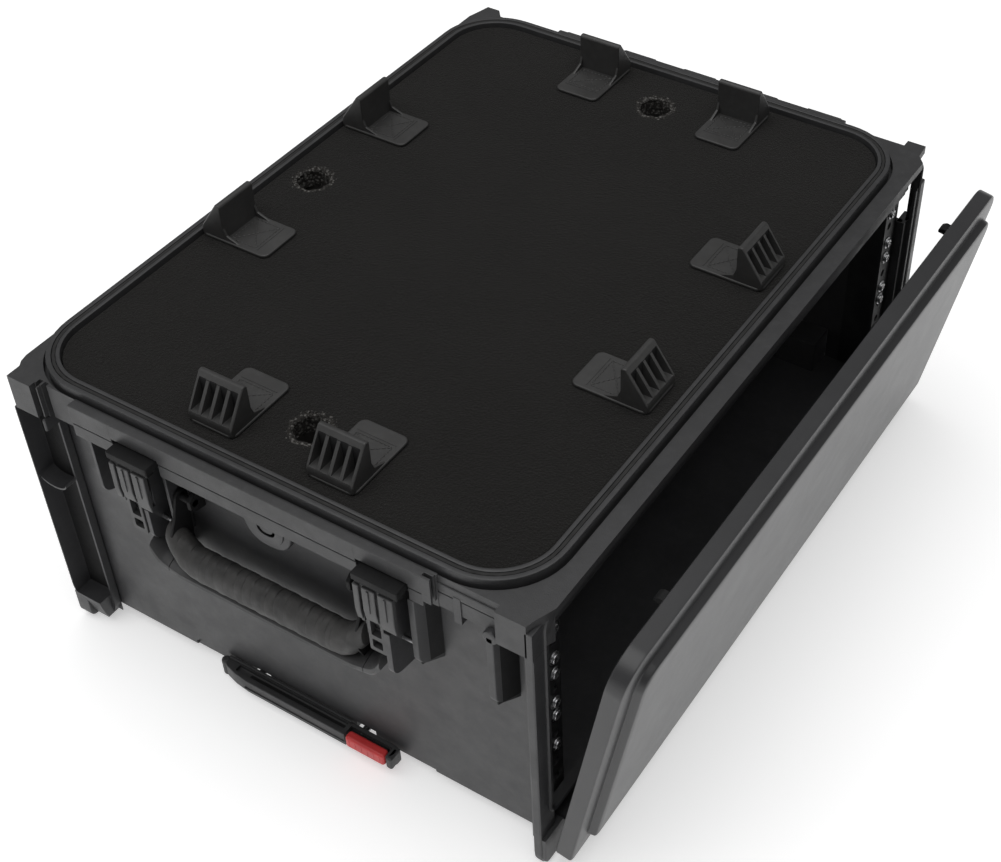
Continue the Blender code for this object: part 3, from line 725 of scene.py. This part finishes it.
def carpet():
    """Carpet on foam: soft rolled edge and rough holes."""
    profile = ((0, 224.3), (0, 235.4), (0.7, 236.6), (2.2, 237.2))
    rows = [at(rib_outline(RIB_WIDTH + 0.3 + inset), z) for inset, z in profile]
    sheet = sweep("carpet", rows, closed=False, caps=True)
    cuts = []
    for x, y in CABLE_HOLES:
        outline = []
        for k in range(48):
            turn = 2 * math.pi * k / 48
            radius = hole_edge(x, y, turn)
            outline.append((x + radius * math.cos(turn), y + radius * math.sin(turn)))
        cuts.append(prism("hole", outline, 220, 240))
    return carve(sheet, *cuts)


def foam_edge(number, x, y):
    """Crumbs of cut foam round one hole: a lumpy ring, thickest on the hinge side."""
    rng = random.Random(40 + number)
    bm = bmesh.new()
    hinge_side = 2.1
    for k in range(190):
        turn = rng.gauss(hinge_side, 0.95) if k % 4 else rng.uniform(0, 2 * math.pi)
        spread = rng.uniform(-0.6, 4.6)
        radius = HOLE_R + spread
        size = rng.uniform(0.45, 1.15)
        z = 236.9 + rng.uniform(-0.2, 0.35) - max(0.0, -spread) * 1.2
        spot = Matrix.Translation((x + radius * math.cos(turn), y + radius * math.sin(turn), z))
        turned_by = Matrix.Rotation(rng.uniform(0, 3), 4, Vector((rng.random(), rng.random(), 1)))
        scale = Matrix.Diagonal((size, size * rng.uniform(0.5, 1), size * rng.uniform(0.4, 0.8), 1))
        bmesh.ops.create_icosphere(bm, subdivisions=1, radius=1.0, matrix=spot @ turned_by @ scale)
    return link("foam_edge_%d" % number, bm)


def tunnel(number, x, y):
    """The cut wall of foam inside one hole."""
    rows = []
    for z in (224.2, 228, 231, 234, 236.6, 237.4):
        row = []
        for k in range(48):
            turn = 2 * math.pi * k / 48
            lump = noise.noise(Vector((3 * math.cos(turn) + x, 3 * math.sin(turn) + y, z * 0.6)))
            radius = hole_edge(x, y, turn) - 0.5 - 0.9 * lump + (1.2 if z > 237 else 0)
            row.append((x + radius * math.cos(turn), y + radius * math.sin(turn), z))
        rows.append(row)
    outer = [[(x + (px - x) * 1.16, y + (py - y) * 1.16, pz - 0.2) for px, py, pz in row] for row in rows]
    return sweep("foam_wall_%d" % number, rows + outer[::-1])


# ---------------------------------------------------------------- stabilisers
def stitch_line(a, b, level, pitch=3.2, thread=0.55):
    """A run of stitches from a to b as short raised threads."""
    bm = bmesh.new()
    start, end = Vector((*a, level)), Vector((*b, level))
    count = max(1, round((end - start).length / pitch))
    step = (end - start) / count
    turn = step.to_track_quat("X", "Z").to_matrix().to_4x4()
    for k in range(count):
        centre = start + step * (k + 0.5)
        spot = Matrix.Translation(centre) @ turn
        shape = Matrix.Diagonal((step.length * 0.4, thread, thread * 0.8, 1))
        bmesh.ops.create_icosphere(bm, subdivisions=2, radius=1.0, matrix=spot @ shape)
    return link("stitches", bm)


def stabiliser(number, x, y, turn):
    """(block, slot shade): a slotted wedge on a sewn base, built facing -Y, then turned and placed."""
    z = CARPET_Z + 0.4
    half, front = 18.0, -28.0
    base = prism("base", rounded(-half, half, front, -front, 5, 5), z, z + 2.4, "Z", 0.9, 3)
    step = box("base_step", -half + 3.5, half - 3.5, 17.5, 18.3, z + 2.2, z + 2.75, 0.2)
    back = front + 20
    side = [(front + 0.5, z + 1), (back, z + 1), (back, z + 28.6), (back - 1.4, z + 30), (back - 4, z + 30)]
    side += [(front + 1.2, z + 8.5), (front + 0.5, z + 6)]
    parts = [base, step]
    wedge = prism("wedge", side, -half + 0.7, half - 0.7, "X", 0.9, 3)
    slots = []
    for k in range(4):
        middle = -half + 5.6 + k * 8.27
        low, high = z + 8.2, z + 26.8
        slot = [(front - 1, low), (front + 15, low), (front + 15.6, high), (front + 7, high)]
        slots.append(prism("slot", slot, middle - 2.95, middle + 2.95, "X", 0.6, 2))
    carve(wedge, *slots)
    parts.append(wedge)
    # The slot shade is painted shade: a dark plate behind the slots that darkens their insides
    name = "slot_painted_shade_%d" % number
    shade = box(name, -half + 2.5, half - 2.5, front + 13.4, front + 14.9, z + 8.4, z + 26.6, 0.2)
    brace = [(back - 1, z + 2), (back + 13, z + 2), (back + 2, z + 6), (back - 1, z + 14)]
    for sx in (-half + 0.9, half - 2.9):
        parts.append(prism("brace", brace, sx, sx + 2.0, "X", 0.5))
    corners = [(-13.2, -5), (13.2, -5), (13.2, 15.6), (-13.2, 15.6)]
    sides = zip(corners, corners[1:] + corners[:1])
    for a, b in (*sides, (corners[0], corners[2]), (corners[1], corners[3])):
        parts.append(stitch_line(a, b, z + 2.5))
    block = weld("stabiliser_block_%d" % number, *parts)
    centre = Vector((x, y, 0)) * MM + SHIFT
    spin = Matrix.Rotation(math.radians(turn), 4, "Z")
    for obj in (block, shade):
        obj.data.transform(Matrix.Translation(centre) @ spin @ Matrix.Translation(-SHIFT))
    return block, shade


# ---------------------------------------------------------------- latches
def latch_parts(side, tag):
    """(lever, cap, claw) of one latch: a narrow windowed lever under a wide three-pronged claw."""
    x = side * LATCH_X
    lever = prism("lever", rounded(x - 9.8, x + 2.4, LEVER_FOOT_Z, 207, 1.6, 3), -275.4, -271.4, "Y", 0.6)
    windows = [
        prism("window", rounded(x - 7.2, x + 0.2, low, high, 1, 2), -278, -266, "Y")
        for low, high in ((158.6, 166), (169.5, 182.5), (186, 200))
    ]
    carve(lever, *windows)
    parts = [lever, box("backing", x - 15, x + 2.3, -270.8, -269.2, 170, 213, 0.4)]
    parts.append(box("spine", x - 9.4, x + 2.2, -271.6, -269.4, LEVER_FOOT_Z, 172, 0.4))
    parts.append(box("side_rail", x - 15.2, x - 12.6, -273.6, -269.4, 176, 213, 0.6))
    parts.append(rod("knuckle", "X", *LATCH_PIVOT, 5.2, x - 15, x + 2.4, 0.8, 28))
    parts.append(box("web", x - 15, x + 2.4, -270.5, LATCH_PIVOT[0], 161, 171, 0.5))
    body = weld("latch_lever_" + tag, *parts)
    cap = weld(
        "latch_cap_" + tag,
        box("cap", x - 15.8, x + 17.2, -277.2, -266, 215.6, 221.4, 0.9, 3),
        box("cap_step", x - 14.6, x + 16, -275.8, -270, 212.4, 216, 0.5),
    )
    claws = [box("plate", x - 15.2, x + 12.8, -275.0, CLAW_Y, 198, 212.2, 0.3)]
    for low_x, high_x, low_z in ((-15.6, -11.4, 181.5), (-9.2, 0.2, 183.5), (2.4, 12.9, 181)):
        claw = [(CLAW_Y, 212), (-277.0, 212), (-277.4, low_z + 9), (-276.2, low_z), (-274.9, low_z)]
        claw.append((CLAW_Y, low_z + 7))
        claws.append(prism("claw", claw, x + low_x, x + high_x, "X", 0.8, 3))
    for dx in (-4.5, 7.6):
        claws.append(box("claw_rib", x + dx - 0.7, x + dx + 0.7, -277.9, -276.4, 192, 211, 0.3))
    trigger = weld("latch_claw_" + tag, *claws)
    return body, cap, trigger


# ---------------------------------------------------------------- carry handle
def grip_path(t):
    """Centre line of the grip in (x, y, z); t runs from -1 to 1 and the ends curl up and back."""
    end = max(0.0, abs(t) - 0.7) / 0.3
    return Vector(((HANDLE_HALF - 0.1) * t, GRIP_Y - 0.5 + 2.4 * end ** 2, GRIP_Z - 8.7 + 16.0 * end ** 2))


def carry_grip():
    """Soft sleeve with the shallow sags and fine upright creases of moulded rubber."""
    rng = random.Random(8)
    # Each crease is (place along the grip, width, depth)
    creases = []
    for k in range(18):
        middle = -0.86 + 0.1 * k + rng.uniform(-0.03, 0.03)
        creases.append((middle, rng.uniform(0.0035, 0.0055), rng.uniform(0.55, 0.95)))
    for k in range(34):
        middle = rng.uniform(-0.9, 0.9)
        creases.append((middle, rng.uniform(0.003, 0.005), rng.uniform(0.15, 0.35)))
    steps, sides = 300, 44
    half_deep, half_high = 9.6, 13.0
    rows = []
    for k in range(steps + 1):
        t = -1 + 2 * k / steps
        centre = grip_path(t)
        end = max(0.0, abs(t) - 0.86) / 0.14
        row = []
        for i in range(sides):
            turn = 2 * math.pi * i / sides
            lean_t = t + 0.012 * math.sin(turn)
            pleat = sum(depth * math.exp(-((lean_t - mid) / width) ** 2) for mid, width, depth in creases)
            wave = 0.22 * math.sin(t * 30 + 2 * math.sin(turn * 2)) + 0.15 * math.sin(t * 61 + turn)
            radius = (1 - 0.22 * end ** 2) + (wave - pleat * (0.6 + 0.4 * math.sin(turn + 1))) / 15
            y = centre.y + half_deep * radius * math.cos(turn)
            row.append((centre.x, y, centre.z + half_high * radius * math.sin(turn)))
        rows.append(row)
    return sweep("carry_sleeve", rows, closed=False, caps=True)


def carry_arms():
    """The two swinging arms, in the shade between grip and latch."""
    py, pz, radius = -259.0, 186.0, 5.6
    arm = []
    for k in range(9):
        turn = math.pi * k / 8
        arm.append((py + radius * math.cos(turn), pz + radius * math.sin(turn)))
    arm += [(-268, 174), (-274, 162), (-275, 146), (-271, 136), (-263, 134), (-256, 142), (-254.4, 170)]
    arms = [prism("arm", arm, *mirror_pair(side, 71.6, 74.0), "X", 0.8, 2) for side in (-1, 1)]
    return weld("carry_arms", *arms)


def flange_row(x):
    """Section of the handle's flange at this x: it climbs towards both latches."""
    section = (
        (-277, 0.4), (-278, 2.2), (-277.6, 4.6), (-275.6, 5.8), (-270, 7.8), (-261, 7.8), (-257, 6),
        (-256.4, 1), (-262, 0), (-274, 0),
    )
    lift = 3.2 * max(0.0, (abs(x) - 60) / 25) ** 2 + 18.0 * max(0.0, (abs(x) - 82) / 13.5) ** 2
    thick = 1 + 0.6 * max(0.0, (abs(x) - 70) / 20)
    return [(x, y, 127.2 + lift + h * thick) for y, h in section]


def flange(name, low, high, steps):
    """A stretch of the flange along x."""
    rows = []
    for k in range(steps + 1):
        rows.append(flange_row(low + (high - low) * k / steps))
    return sweep(name, rows, closed=False, caps=True)


# ---------------------------------------------------------------- trolley
def trolley_grip():
    """Pull grip seen from above: it bows out between its two ends, with a finger hollow on top."""
    front = [(-73, -253), (-72, -256.6), (-68, -259.4), (-59, -261.8), (-47, -263.2), (36, -263.4)]
    front += [(70, -263.4), (74, -261.5), (76, -257.5), (76, -253), (70, -252), (-68, -252), (-72, -252.2)]
    bar = prism("bar", front, 9.6, 21.4, "Z", 1.8, 3)
    hollow = [(-60, -259.4), (34, -260.4), (34, -254.2), (-60, -254.2)]
    cuts = [
        prism("finger_hollow", hollow, 18.8, 23, "Z", 0.8),
        box("pocket", 37, 71, -265.5, -255, 9, 22, 0),
        box("bar_channel", -50, 70, -259.3, -253.3, 13.4, 17.6, 0),
    ]
    carve(bar, *cuts)
    end = prism("left_end", circle(-72.0, -255.0, 3.3, 24), 6.8, 21.8, "Z", 1.6, 3)
    tip = box("right_tip", 71.2, 76.2, -264, -253.6, 10.4, 21.4, 1.6, 3)
    seam = box("seam", -50, 36.6, -264.0, -263.0, 13.4, 14.0, 0.2)
    back = box("back_rim", -70, 36.4, -253.8, -251.7, 17, 23.6, 0.6)
    return weld("trolley_bar", bar, end, tip, seam, back)


def button():
    """The ribbed red release cap at the grip's right end."""
    cap = box("cap", 38.5, 70.5, -265.0, -257.8, 11.4, 22.3, 2.2, 4)
    ribs = [box("rib", 41.5 + 5 * k, 42.7 + 5 * k, -265.25, -264.4, 13.5, 20, 0.3) for k in range(6)]
    return weld("release_cap", cap, *ribs)


# ---------------------------------------------------------------- cover
def cover_outline(inset, radius):
    """The cover's outline, upright, moved in by inset; its two lower corners are nearly square."""
    half = DOOR_HALF - inset
    return rounded(-half, half, DOOR_Z + inset, DOOR_TOP - inset, radius, 8, 3.0)


def cover():
    """Rim and raised panel with rolled edges, a hollow back with ribs, and the seal's groove."""
    rows = []
    profile = (
        (1.2, 0.0), (0.3, 0.5), (0, 1.4), (0, 10.2), (0.4, 11.4), (1.5, 12.0), (13.6, 12.2), (14.6, 12.6),
        (15.1, 13.4), (15.6, 16.6), (16.2, 17.5), (17.6, 18.0), (20.0, 18.15),
    )
    for inset, x in profile:
        rows.append(at(cover_outline(inset, max(22 - inset * 0.55, 4)), DOOR_X + x, "X"))
    skin = sweep("cover_skin", rows, closed=False, caps=True)
    hollow = prism("hollow", cover_outline(22, 14), DOOR_X - 1, DOOR_X + 13.5, "X")
    groove = carve(
        prism("groove", cover_outline(12, 14), DOOR_X - 1, DOOR_X + 2.5, "X"),
        prism("island", cover_outline(16, 10), DOOR_X - 2, DOOR_X + 4, "X"),
    )
    slots = []
    for y in PEG_Y:
        low, high = DOOR_TOP - 12.1, DOOR_TOP - 4
        slots.append(box("peg_slot", DOOR_X - 1, DOOR_X + 9.5, y - 4.6, y + 4.6, low, high, 0))
    carve(skin, hollow, groove, *slots)
    root = DOOR_X + 6
    ribs = [box("back_rib", root, DOOR_BACK, y - 1.2, y + 1.2, 42, 208, 0.5) for y in range(-160, 161, 80)]
    ribs += [box("back_rib", root, DOOR_BACK, -240, 240, z - 1.2, z + 1.2, 0.5) for z in (90, 160)]
    return lean(weld("cover_panel", skin, *ribs))


def catch(y, tag):
    """Spring plunger in the cover's inner face, with a sloped nose."""
    tip, tail = DOOR_X - 6.4, DOOR_X + 9
    low, high = DOOR_TOP - 9.4, DOOR_TOP - 4.4
    outline = ((tip, low), (tail, low), (tail, high), (DOOR_X - 3.6, high), (tip, DOOR_TOP - 6.6))
    peg = prism("peg", outline, y - 4.2, y + 4.2, "Y", 0.9, 3)
    stop = box("peg_stop", DOOR_X - 1.6, DOOR_X - 0.2, y - 3.2, y + 3.2, DOOR_TOP - 10.6, DOOR_TOP - 9, 0.4)
    return lean(weld("catch_" + tag, peg, stop))


# ---------------------------------------------------------------- hardware
def screw(x, y, z, axis, out, radius=3.4):
    """Pan-head screw with a cross recess at (x, y, z); it points out (1 or -1) along axis X or Y."""
    along = {"X": x, "Y": y}[axis]
    a, b = (y, z) if axis == "X" else (x, z)
    low, high = sorted((along, along + out * 2.6))
    head = prism("head", circle(a, b, radius, 20), low, high, axis, 1.1, 3)
    washer = prism("washer", circle(a, b, radius + 1.4, 20), *sorted((along, along + out * 0.8)), axis, 0.3)
    tip = sorted((along + out * 1.2, along + out * 3))
    slots = [
        prism("slot", ((a - w, b - h), (a + w, b - h), (a + w, b + h), (a - w, b + h)), *tip, axis)
        for w, h in ((2.1, 0.5), (0.5, 2.1))
    ]
    carve(head, *slots)
    return weld("screw", head, washer)


def rail_screws():
    """Fixing screws of the four rails, as one piece per rail, and the rails' own coating."""
    for end, sx, heights in (("front", 1, FRONT_SCREWS_Z), ("back", -1, BACK_SCREWS_Z)):
        for tag, edge in (("left", -1), ("right", 1)):
            parts = [screw(sx * RAIL_X, edge * RACK_HOLE_Y, z, "X", sx) for z in heights]
            piece = weld("rail_screws_%s_%s" % (end, tag), *parts)
            place(piece, STEEL, "case", "steel")
            coat("rack_rail_%s_%s" % (end, tag), COATED)


def hinge():
    """The case's half of the lid hinge: a strip with five knuckles."""
    parts = [box("strip", -127.6, 127.6, 262.7, 269.6, 214, 234.4, 0.8)]
    for x in HINGE_X:
        parts.append(prism("knuckle", circle(271, 228.6, 4.2, 24), x - 14, x + 14, "X", 0.6))
        parts.append(box("leaf", x - 14, x + 14, 264, 271, 216, 230, 0.8))
    for x in (-81, -27, 27, 81):
        parts.append(box("web", x - 1.2, x + 1.2, 268, 272.4, 216, 229, 0.4))
    return weld("hinge_leaf", *parts)


def hinge_screws():
    parts = [screw(x, 271.0, 220, "Y", 1, 2.6) for x in HINGE_X]
    return weld("hinge_screws", *parts)


def half_oval(x, z, width, height, steps=14):
    """The lower half of a squarish oval whose flat top is centred at (x, z)."""
    points = []
    for k in range(steps + 1):
        turn = math.pi * (1 + k / steps)
        across = math.copysign(abs(math.cos(turn)) ** 0.7, math.cos(turn))
        points.append((x + width * across, z + height * math.sin(turn)))
    return points


def valve():
    """Pressure valve's cover: a half oval hanging from the band, with a raised pad and a vent slot."""
    tab = prism("tab", half_oval(3, 208, 19, 22), -263.4, -WALL_Y + 0.5, "Y", 1.4, 3)
    pad = prism("pad", half_oval(3, 206, 13.5, 15), -264.3, -262.6, "Y", 0.5)
    vent = prism("vent", half_oval(3, 203, 7, 6), -265, -263.4, "Y")
    core = prism("core", half_oval(3, 203.6, 5.2, 4.6), -264.0, -263, "Y", 0.2)
    carve(pad, vent)
    return weld("valve_cover", tab, pad, core)


def wheel(side, tag):
    """(hub, tyre) of one transport wheel: six spokes and a grooved tread."""
    x, y, z = side * WHEEL[0], WHEEL[1], WHEEL[2]
    rim = rod("rim", "X", y, z, 15.1, x - 9.6, x + 9.6, 0.8, 48)
    carve(rim, rod("bore", "X", y, z, 11.6, x - 12, x + 12, 0))
    core = rod("core", "X", y, z, 5.6, x - 10, x + 10, 0.6, 32)
    carve(core, rod("bore", "X", y, z, 3.08, x - 12, x + 12, 0))
    parts = [rim, core]
    for k in range(6):
        turn = math.pi * k / 3
        spoke = [(y + r * math.cos(turn) + w * math.sin(turn), z + r * math.sin(turn) - w * math.cos(turn))
                 for r, w in ((5, -1.1), (12.2, -1.1), (12.2, 1.1), (5, 1.1))]
        parts.append(prism("spoke", spoke, x - 6.5, x + 6.5, "X", 0.4))
    hub = weld("wheel_spokes_" + tag, *parts)
    profile = [(15.2, -9.5), (19.4, -9.5), (20.9, -8.8), (21.7, -7.6), (22, -6.2)]
    for groove in (-3.2, 0, 3.2):
        profile += [(22, groove - 0.7), (21.3, groove - 0.35), (21.3, groove + 0.35), (22, groove + 0.7)]
    profile += [(22, 6.2), (21.7, 7.6), (20.9, 8.8), (19.4, 9.5), (15.2, 9.5)]
    tyre = sweep("wheel_tread_" + tag, [at(circle(y, z, r, 64), x + dx, "X") for r, dx in profile])
    return hub, tyre


def wheel_housing(side, tag):
    """The box round one wheel, open below and behind, with a rounded outer edge."""
    x, y, z = side * WHEEL[0], WHEEL[1], WHEEL[2]
    a, b = x - 16.7, x + 16.7
    low, back, root, radius, spring_z = BODY_Z0 + 0.3, 256, 223.3, 7.7, 44
    outline = [(root, low), (back, low), (back, spring_z)]
    for degrees in (30, 60, 90):
        turn = math.radians(degrees)
        outline.append((back - radius * (1 - math.cos(turn)), spring_z + radius * math.sin(turn)))
    outline.append((root, spring_z + radius))
    block = prism("housing", outline, a, b, "X", 0.7)
    hollow = box("hollow", a + 3.5, b - 3.5, 225.6, 258, BODY_Z0 - 1, 49.4, 0)
    carve(block, hollow, rod("bore", "X", y, z, 3.05, a - 1, b + 1, 0))
    return weld("wheel_cover_" + tag, block)


# ---------------------------------------------------------------- build
def build():
    """Makes every piece and says which body and CAD nodes it belongs to."""
    fixed = (
        (deck(), DECK, "deck_plastic", "deck_frame"),
        (rib(), DECK, "deck_plastic"),
        (latch_band(), DECK, "deck_plastic"),
        (corner_details(), DECK, "deck_plastic"),
        (shell(), BODY, "body_plastic", "case_shell"),
        (wall_fins(), BODY, "body_plastic"),
        (shoulders(), HANDLE, "body_plastic"),
        # Painted shade: dark slabs over the two draughted fins' +X faces
        (fin_painted_shade(), DARK_PLASTIC_AND_PAINTED_SHADE, "body_plastic"),
        (handle_ears(), DARK_PLASTIC_AND_PAINTED_SHADE, "body_plastic"),
        (end_frame("front_posts", 1), BODY, "body_plastic", "end_frame_front"),
        (end_frame("back_posts", -1), BODY, "body_plastic", "end_frame_back"),
        (channel_dark_plate(-1), DARK_PLASTIC_AND_PAINTED_SHADE, "body_plastic"),
        (channel_dark_plate(1), DARK_PLASTIC_AND_PAINTED_SHADE, "body_plastic"),
        (hinge(), DECK, "deck_plastic", "lid_hinge_strip"),
        (hinge_screws(), STEEL, "steel"),
        (valve(), BODY, "body_plastic", "pressure_valve"),
    )
    for piece, shade, slot_name, *nodes in fixed:
        place(piece, shade, "case", slot_name, *nodes)
    liner = place(carpet(), CARPET, "case", "carpet", "foam_liner")
    for number, (x, y) in enumerate(CABLE_HOLES, 1):
        place(foam_edge(number, x, y), FOAM, "case", "carpet")
        place(tunnel(number, x, y), FOAM, "case", "carpet")
    for number, (x, y, turn) in enumerate(STABILISERS, 1):
        block, shade = stabiliser(number, x, y, turn)
        place(block, BLOCK, "case", "block_plastic", "stabiliser_%d" % number)
        # The dark plate behind each stabiliser's slots is painted shade
        place(shade, DARK_PLASTIC_AND_PAINTED_SHADE, "case", "block_plastic")
    for side, tag in ((-1, "left"), (1, "right")):
        body, cap, trigger = latch_parts(side, tag)
        place(body, LATCH, "latch_" + tag, "latch_plastic", "latch_body_" + tag)
        place(cap, DARK_PLASTIC_AND_PAINTED_SHADE, "latch_" + tag, "latch_plastic")
        place(trigger, LATCH, "trigger_" + tag, "latch_plastic", "latch_trigger_" + tag)
        hub, tyre = wheel(side, tag)
        place(hub, DARK_PLASTIC_AND_PAINTED_SHADE, "wheel_" + tag, "block_plastic", "wheel_hub_" + tag)
        place(tyre, TYRE, "wheel_" + tag, "tyre", "wheel_tyre_" + tag)
        place(wheel_housing(side, tag), BODY, "case", "body_plastic", "wheel_housing_" + tag)
        plunger = catch(side * PEG_Y[1], tag)
        place(plunger, DARK_PLASTIC_AND_PAINTED_SHADE, "catch_" + tag, "latch_plastic", "cover_catch_" + tag)
    place(carry_grip(), GRIP_RUBBER, "carry_handle", "grip_rubber", "carry_grip")
    frame_bar = flange("carry_frame", -HANDLE_HALF, HANDLE_HALF, 40)
    place(frame_bar, HANDLE, "carry_handle", "handle_plastic", "carry_handle_core")
    place(carry_arms(), DARK_PLASTIC_AND_PAINTED_SHADE, "carry_handle", "handle_plastic")
    place(trolley_grip(), HANDLE, "trolley", "handle_plastic", "trolley_grip")
    place(button(), RED, "button", "button_red", "release_button")
    place(cover(), COVER, "cover", "cover_plastic", "front_cover")
    rail_screws()
    coat("deck_board", BOARD)
    coat("lid_seal", SEAL)
    coat("cover_seal", SEAL)
    coat("lid_hinge_pin", STEEL)
    coat("release_bar", DARK_PLASTIC_AND_PAINTED_SHADE)
    for tag in ("left", "right"):
        coat("handle_pin_" + tag, DARK_PLASTIC_AND_PAINTED_SHADE)
        for stem in ("latch_pin_", "wheel_axle_", "release_rod_"):
            coat(stem + tag, STEEL)
        coat("trolley_tube_" + tag, TUBE)
        coat("trolley_middle_tube_" + tag, TUBE)
        coat("trolley_sleeve_" + tag, DARK_PLASTIC_AND_PAINTED_SHADE)


def area_light(name, spot, size, power):
    """A soft box at spot that faces the case."""
    data = bpy.data.lights.new(name, "AREA")
    data.shape = "RECTANGLE"
    data.size, data.size_y = size
    data.energy = power
    lamp = stand(name, data)
    lamp.location = spot
    lamp.rotation_euler = (Vector((0, 0, 0.1)) - Vector(spot)).to_track_quat("-Z", "Y").to_euler()


def studio():
    """White paper floor that glows a little, a dim white surround and two soft boxes."""
    bm = bmesh.new()
    bmesh.ops.create_grid(bm, x_segments=40, y_segments=40, size=6)
    mesh = bpy.data.meshes.new("floor")
    bm.to_mesh(mesh)
    bm.free()
    floor = stand("floor", mesh)
    floor.location.z = -0.0005
    s = Shade("floor_paper")
    colour = s.mix(s.remap(s.noise(2.0, 2.0)), (0.9, 0.9, 0.9), (0.93, 0.93, 0.93))
    paper = s.finish(colour, 0.8, Emission_Color=(1, 1, 1, 1), Emission_Strength=0.45)
    mesh.materials.append(paper)
    world = bpy.data.worlds.new("studio")
    world.use_nodes = True
    surround = world.node_tree.nodes["Background"]
    surround.inputs["Color"].default_value = (1, 1, 1, 1)
    surround.inputs["Strength"].default_value = 0.2
    bpy.context.scene.world = world
    area_light("top_softbox", (0.0, -0.4, 4.2), (5.0, 5.0), 140)
    area_light("left_softbox", (-2.4, -2.6, 1.5), (1.8, 1.6), 6)


def camera():
    """The viewpoint, worked out from the rack standard's spacing and the deck's corners."""
    data = bpy.data.cameras.new("camera")
    data.sensor_width = 36.0
    data.lens = 60.155
    data.shift_x, data.shift_y = -0.0913, -0.0047
    data.clip_end = 30
    eye = stand("camera", data)
    right = Vector((0.85087, 0.52536, -0.00355))
    down = Vector((0.35942, -0.58702, -0.72542))
    forward = Vector((-0.38319, 0.61596, -0.68830))
    turn = Matrix((right, -down, -forward)).transposed()
    eye.matrix_world = Matrix.Translation(Vector((0.5294, -0.7409, 0.9341)) + SHIFT) @ turn.to_4x4()
    bpy.context.scene.camera = eye
    bpy.context.scene.view_settings.view_transform = "Standard"


build()
studio()
camera()
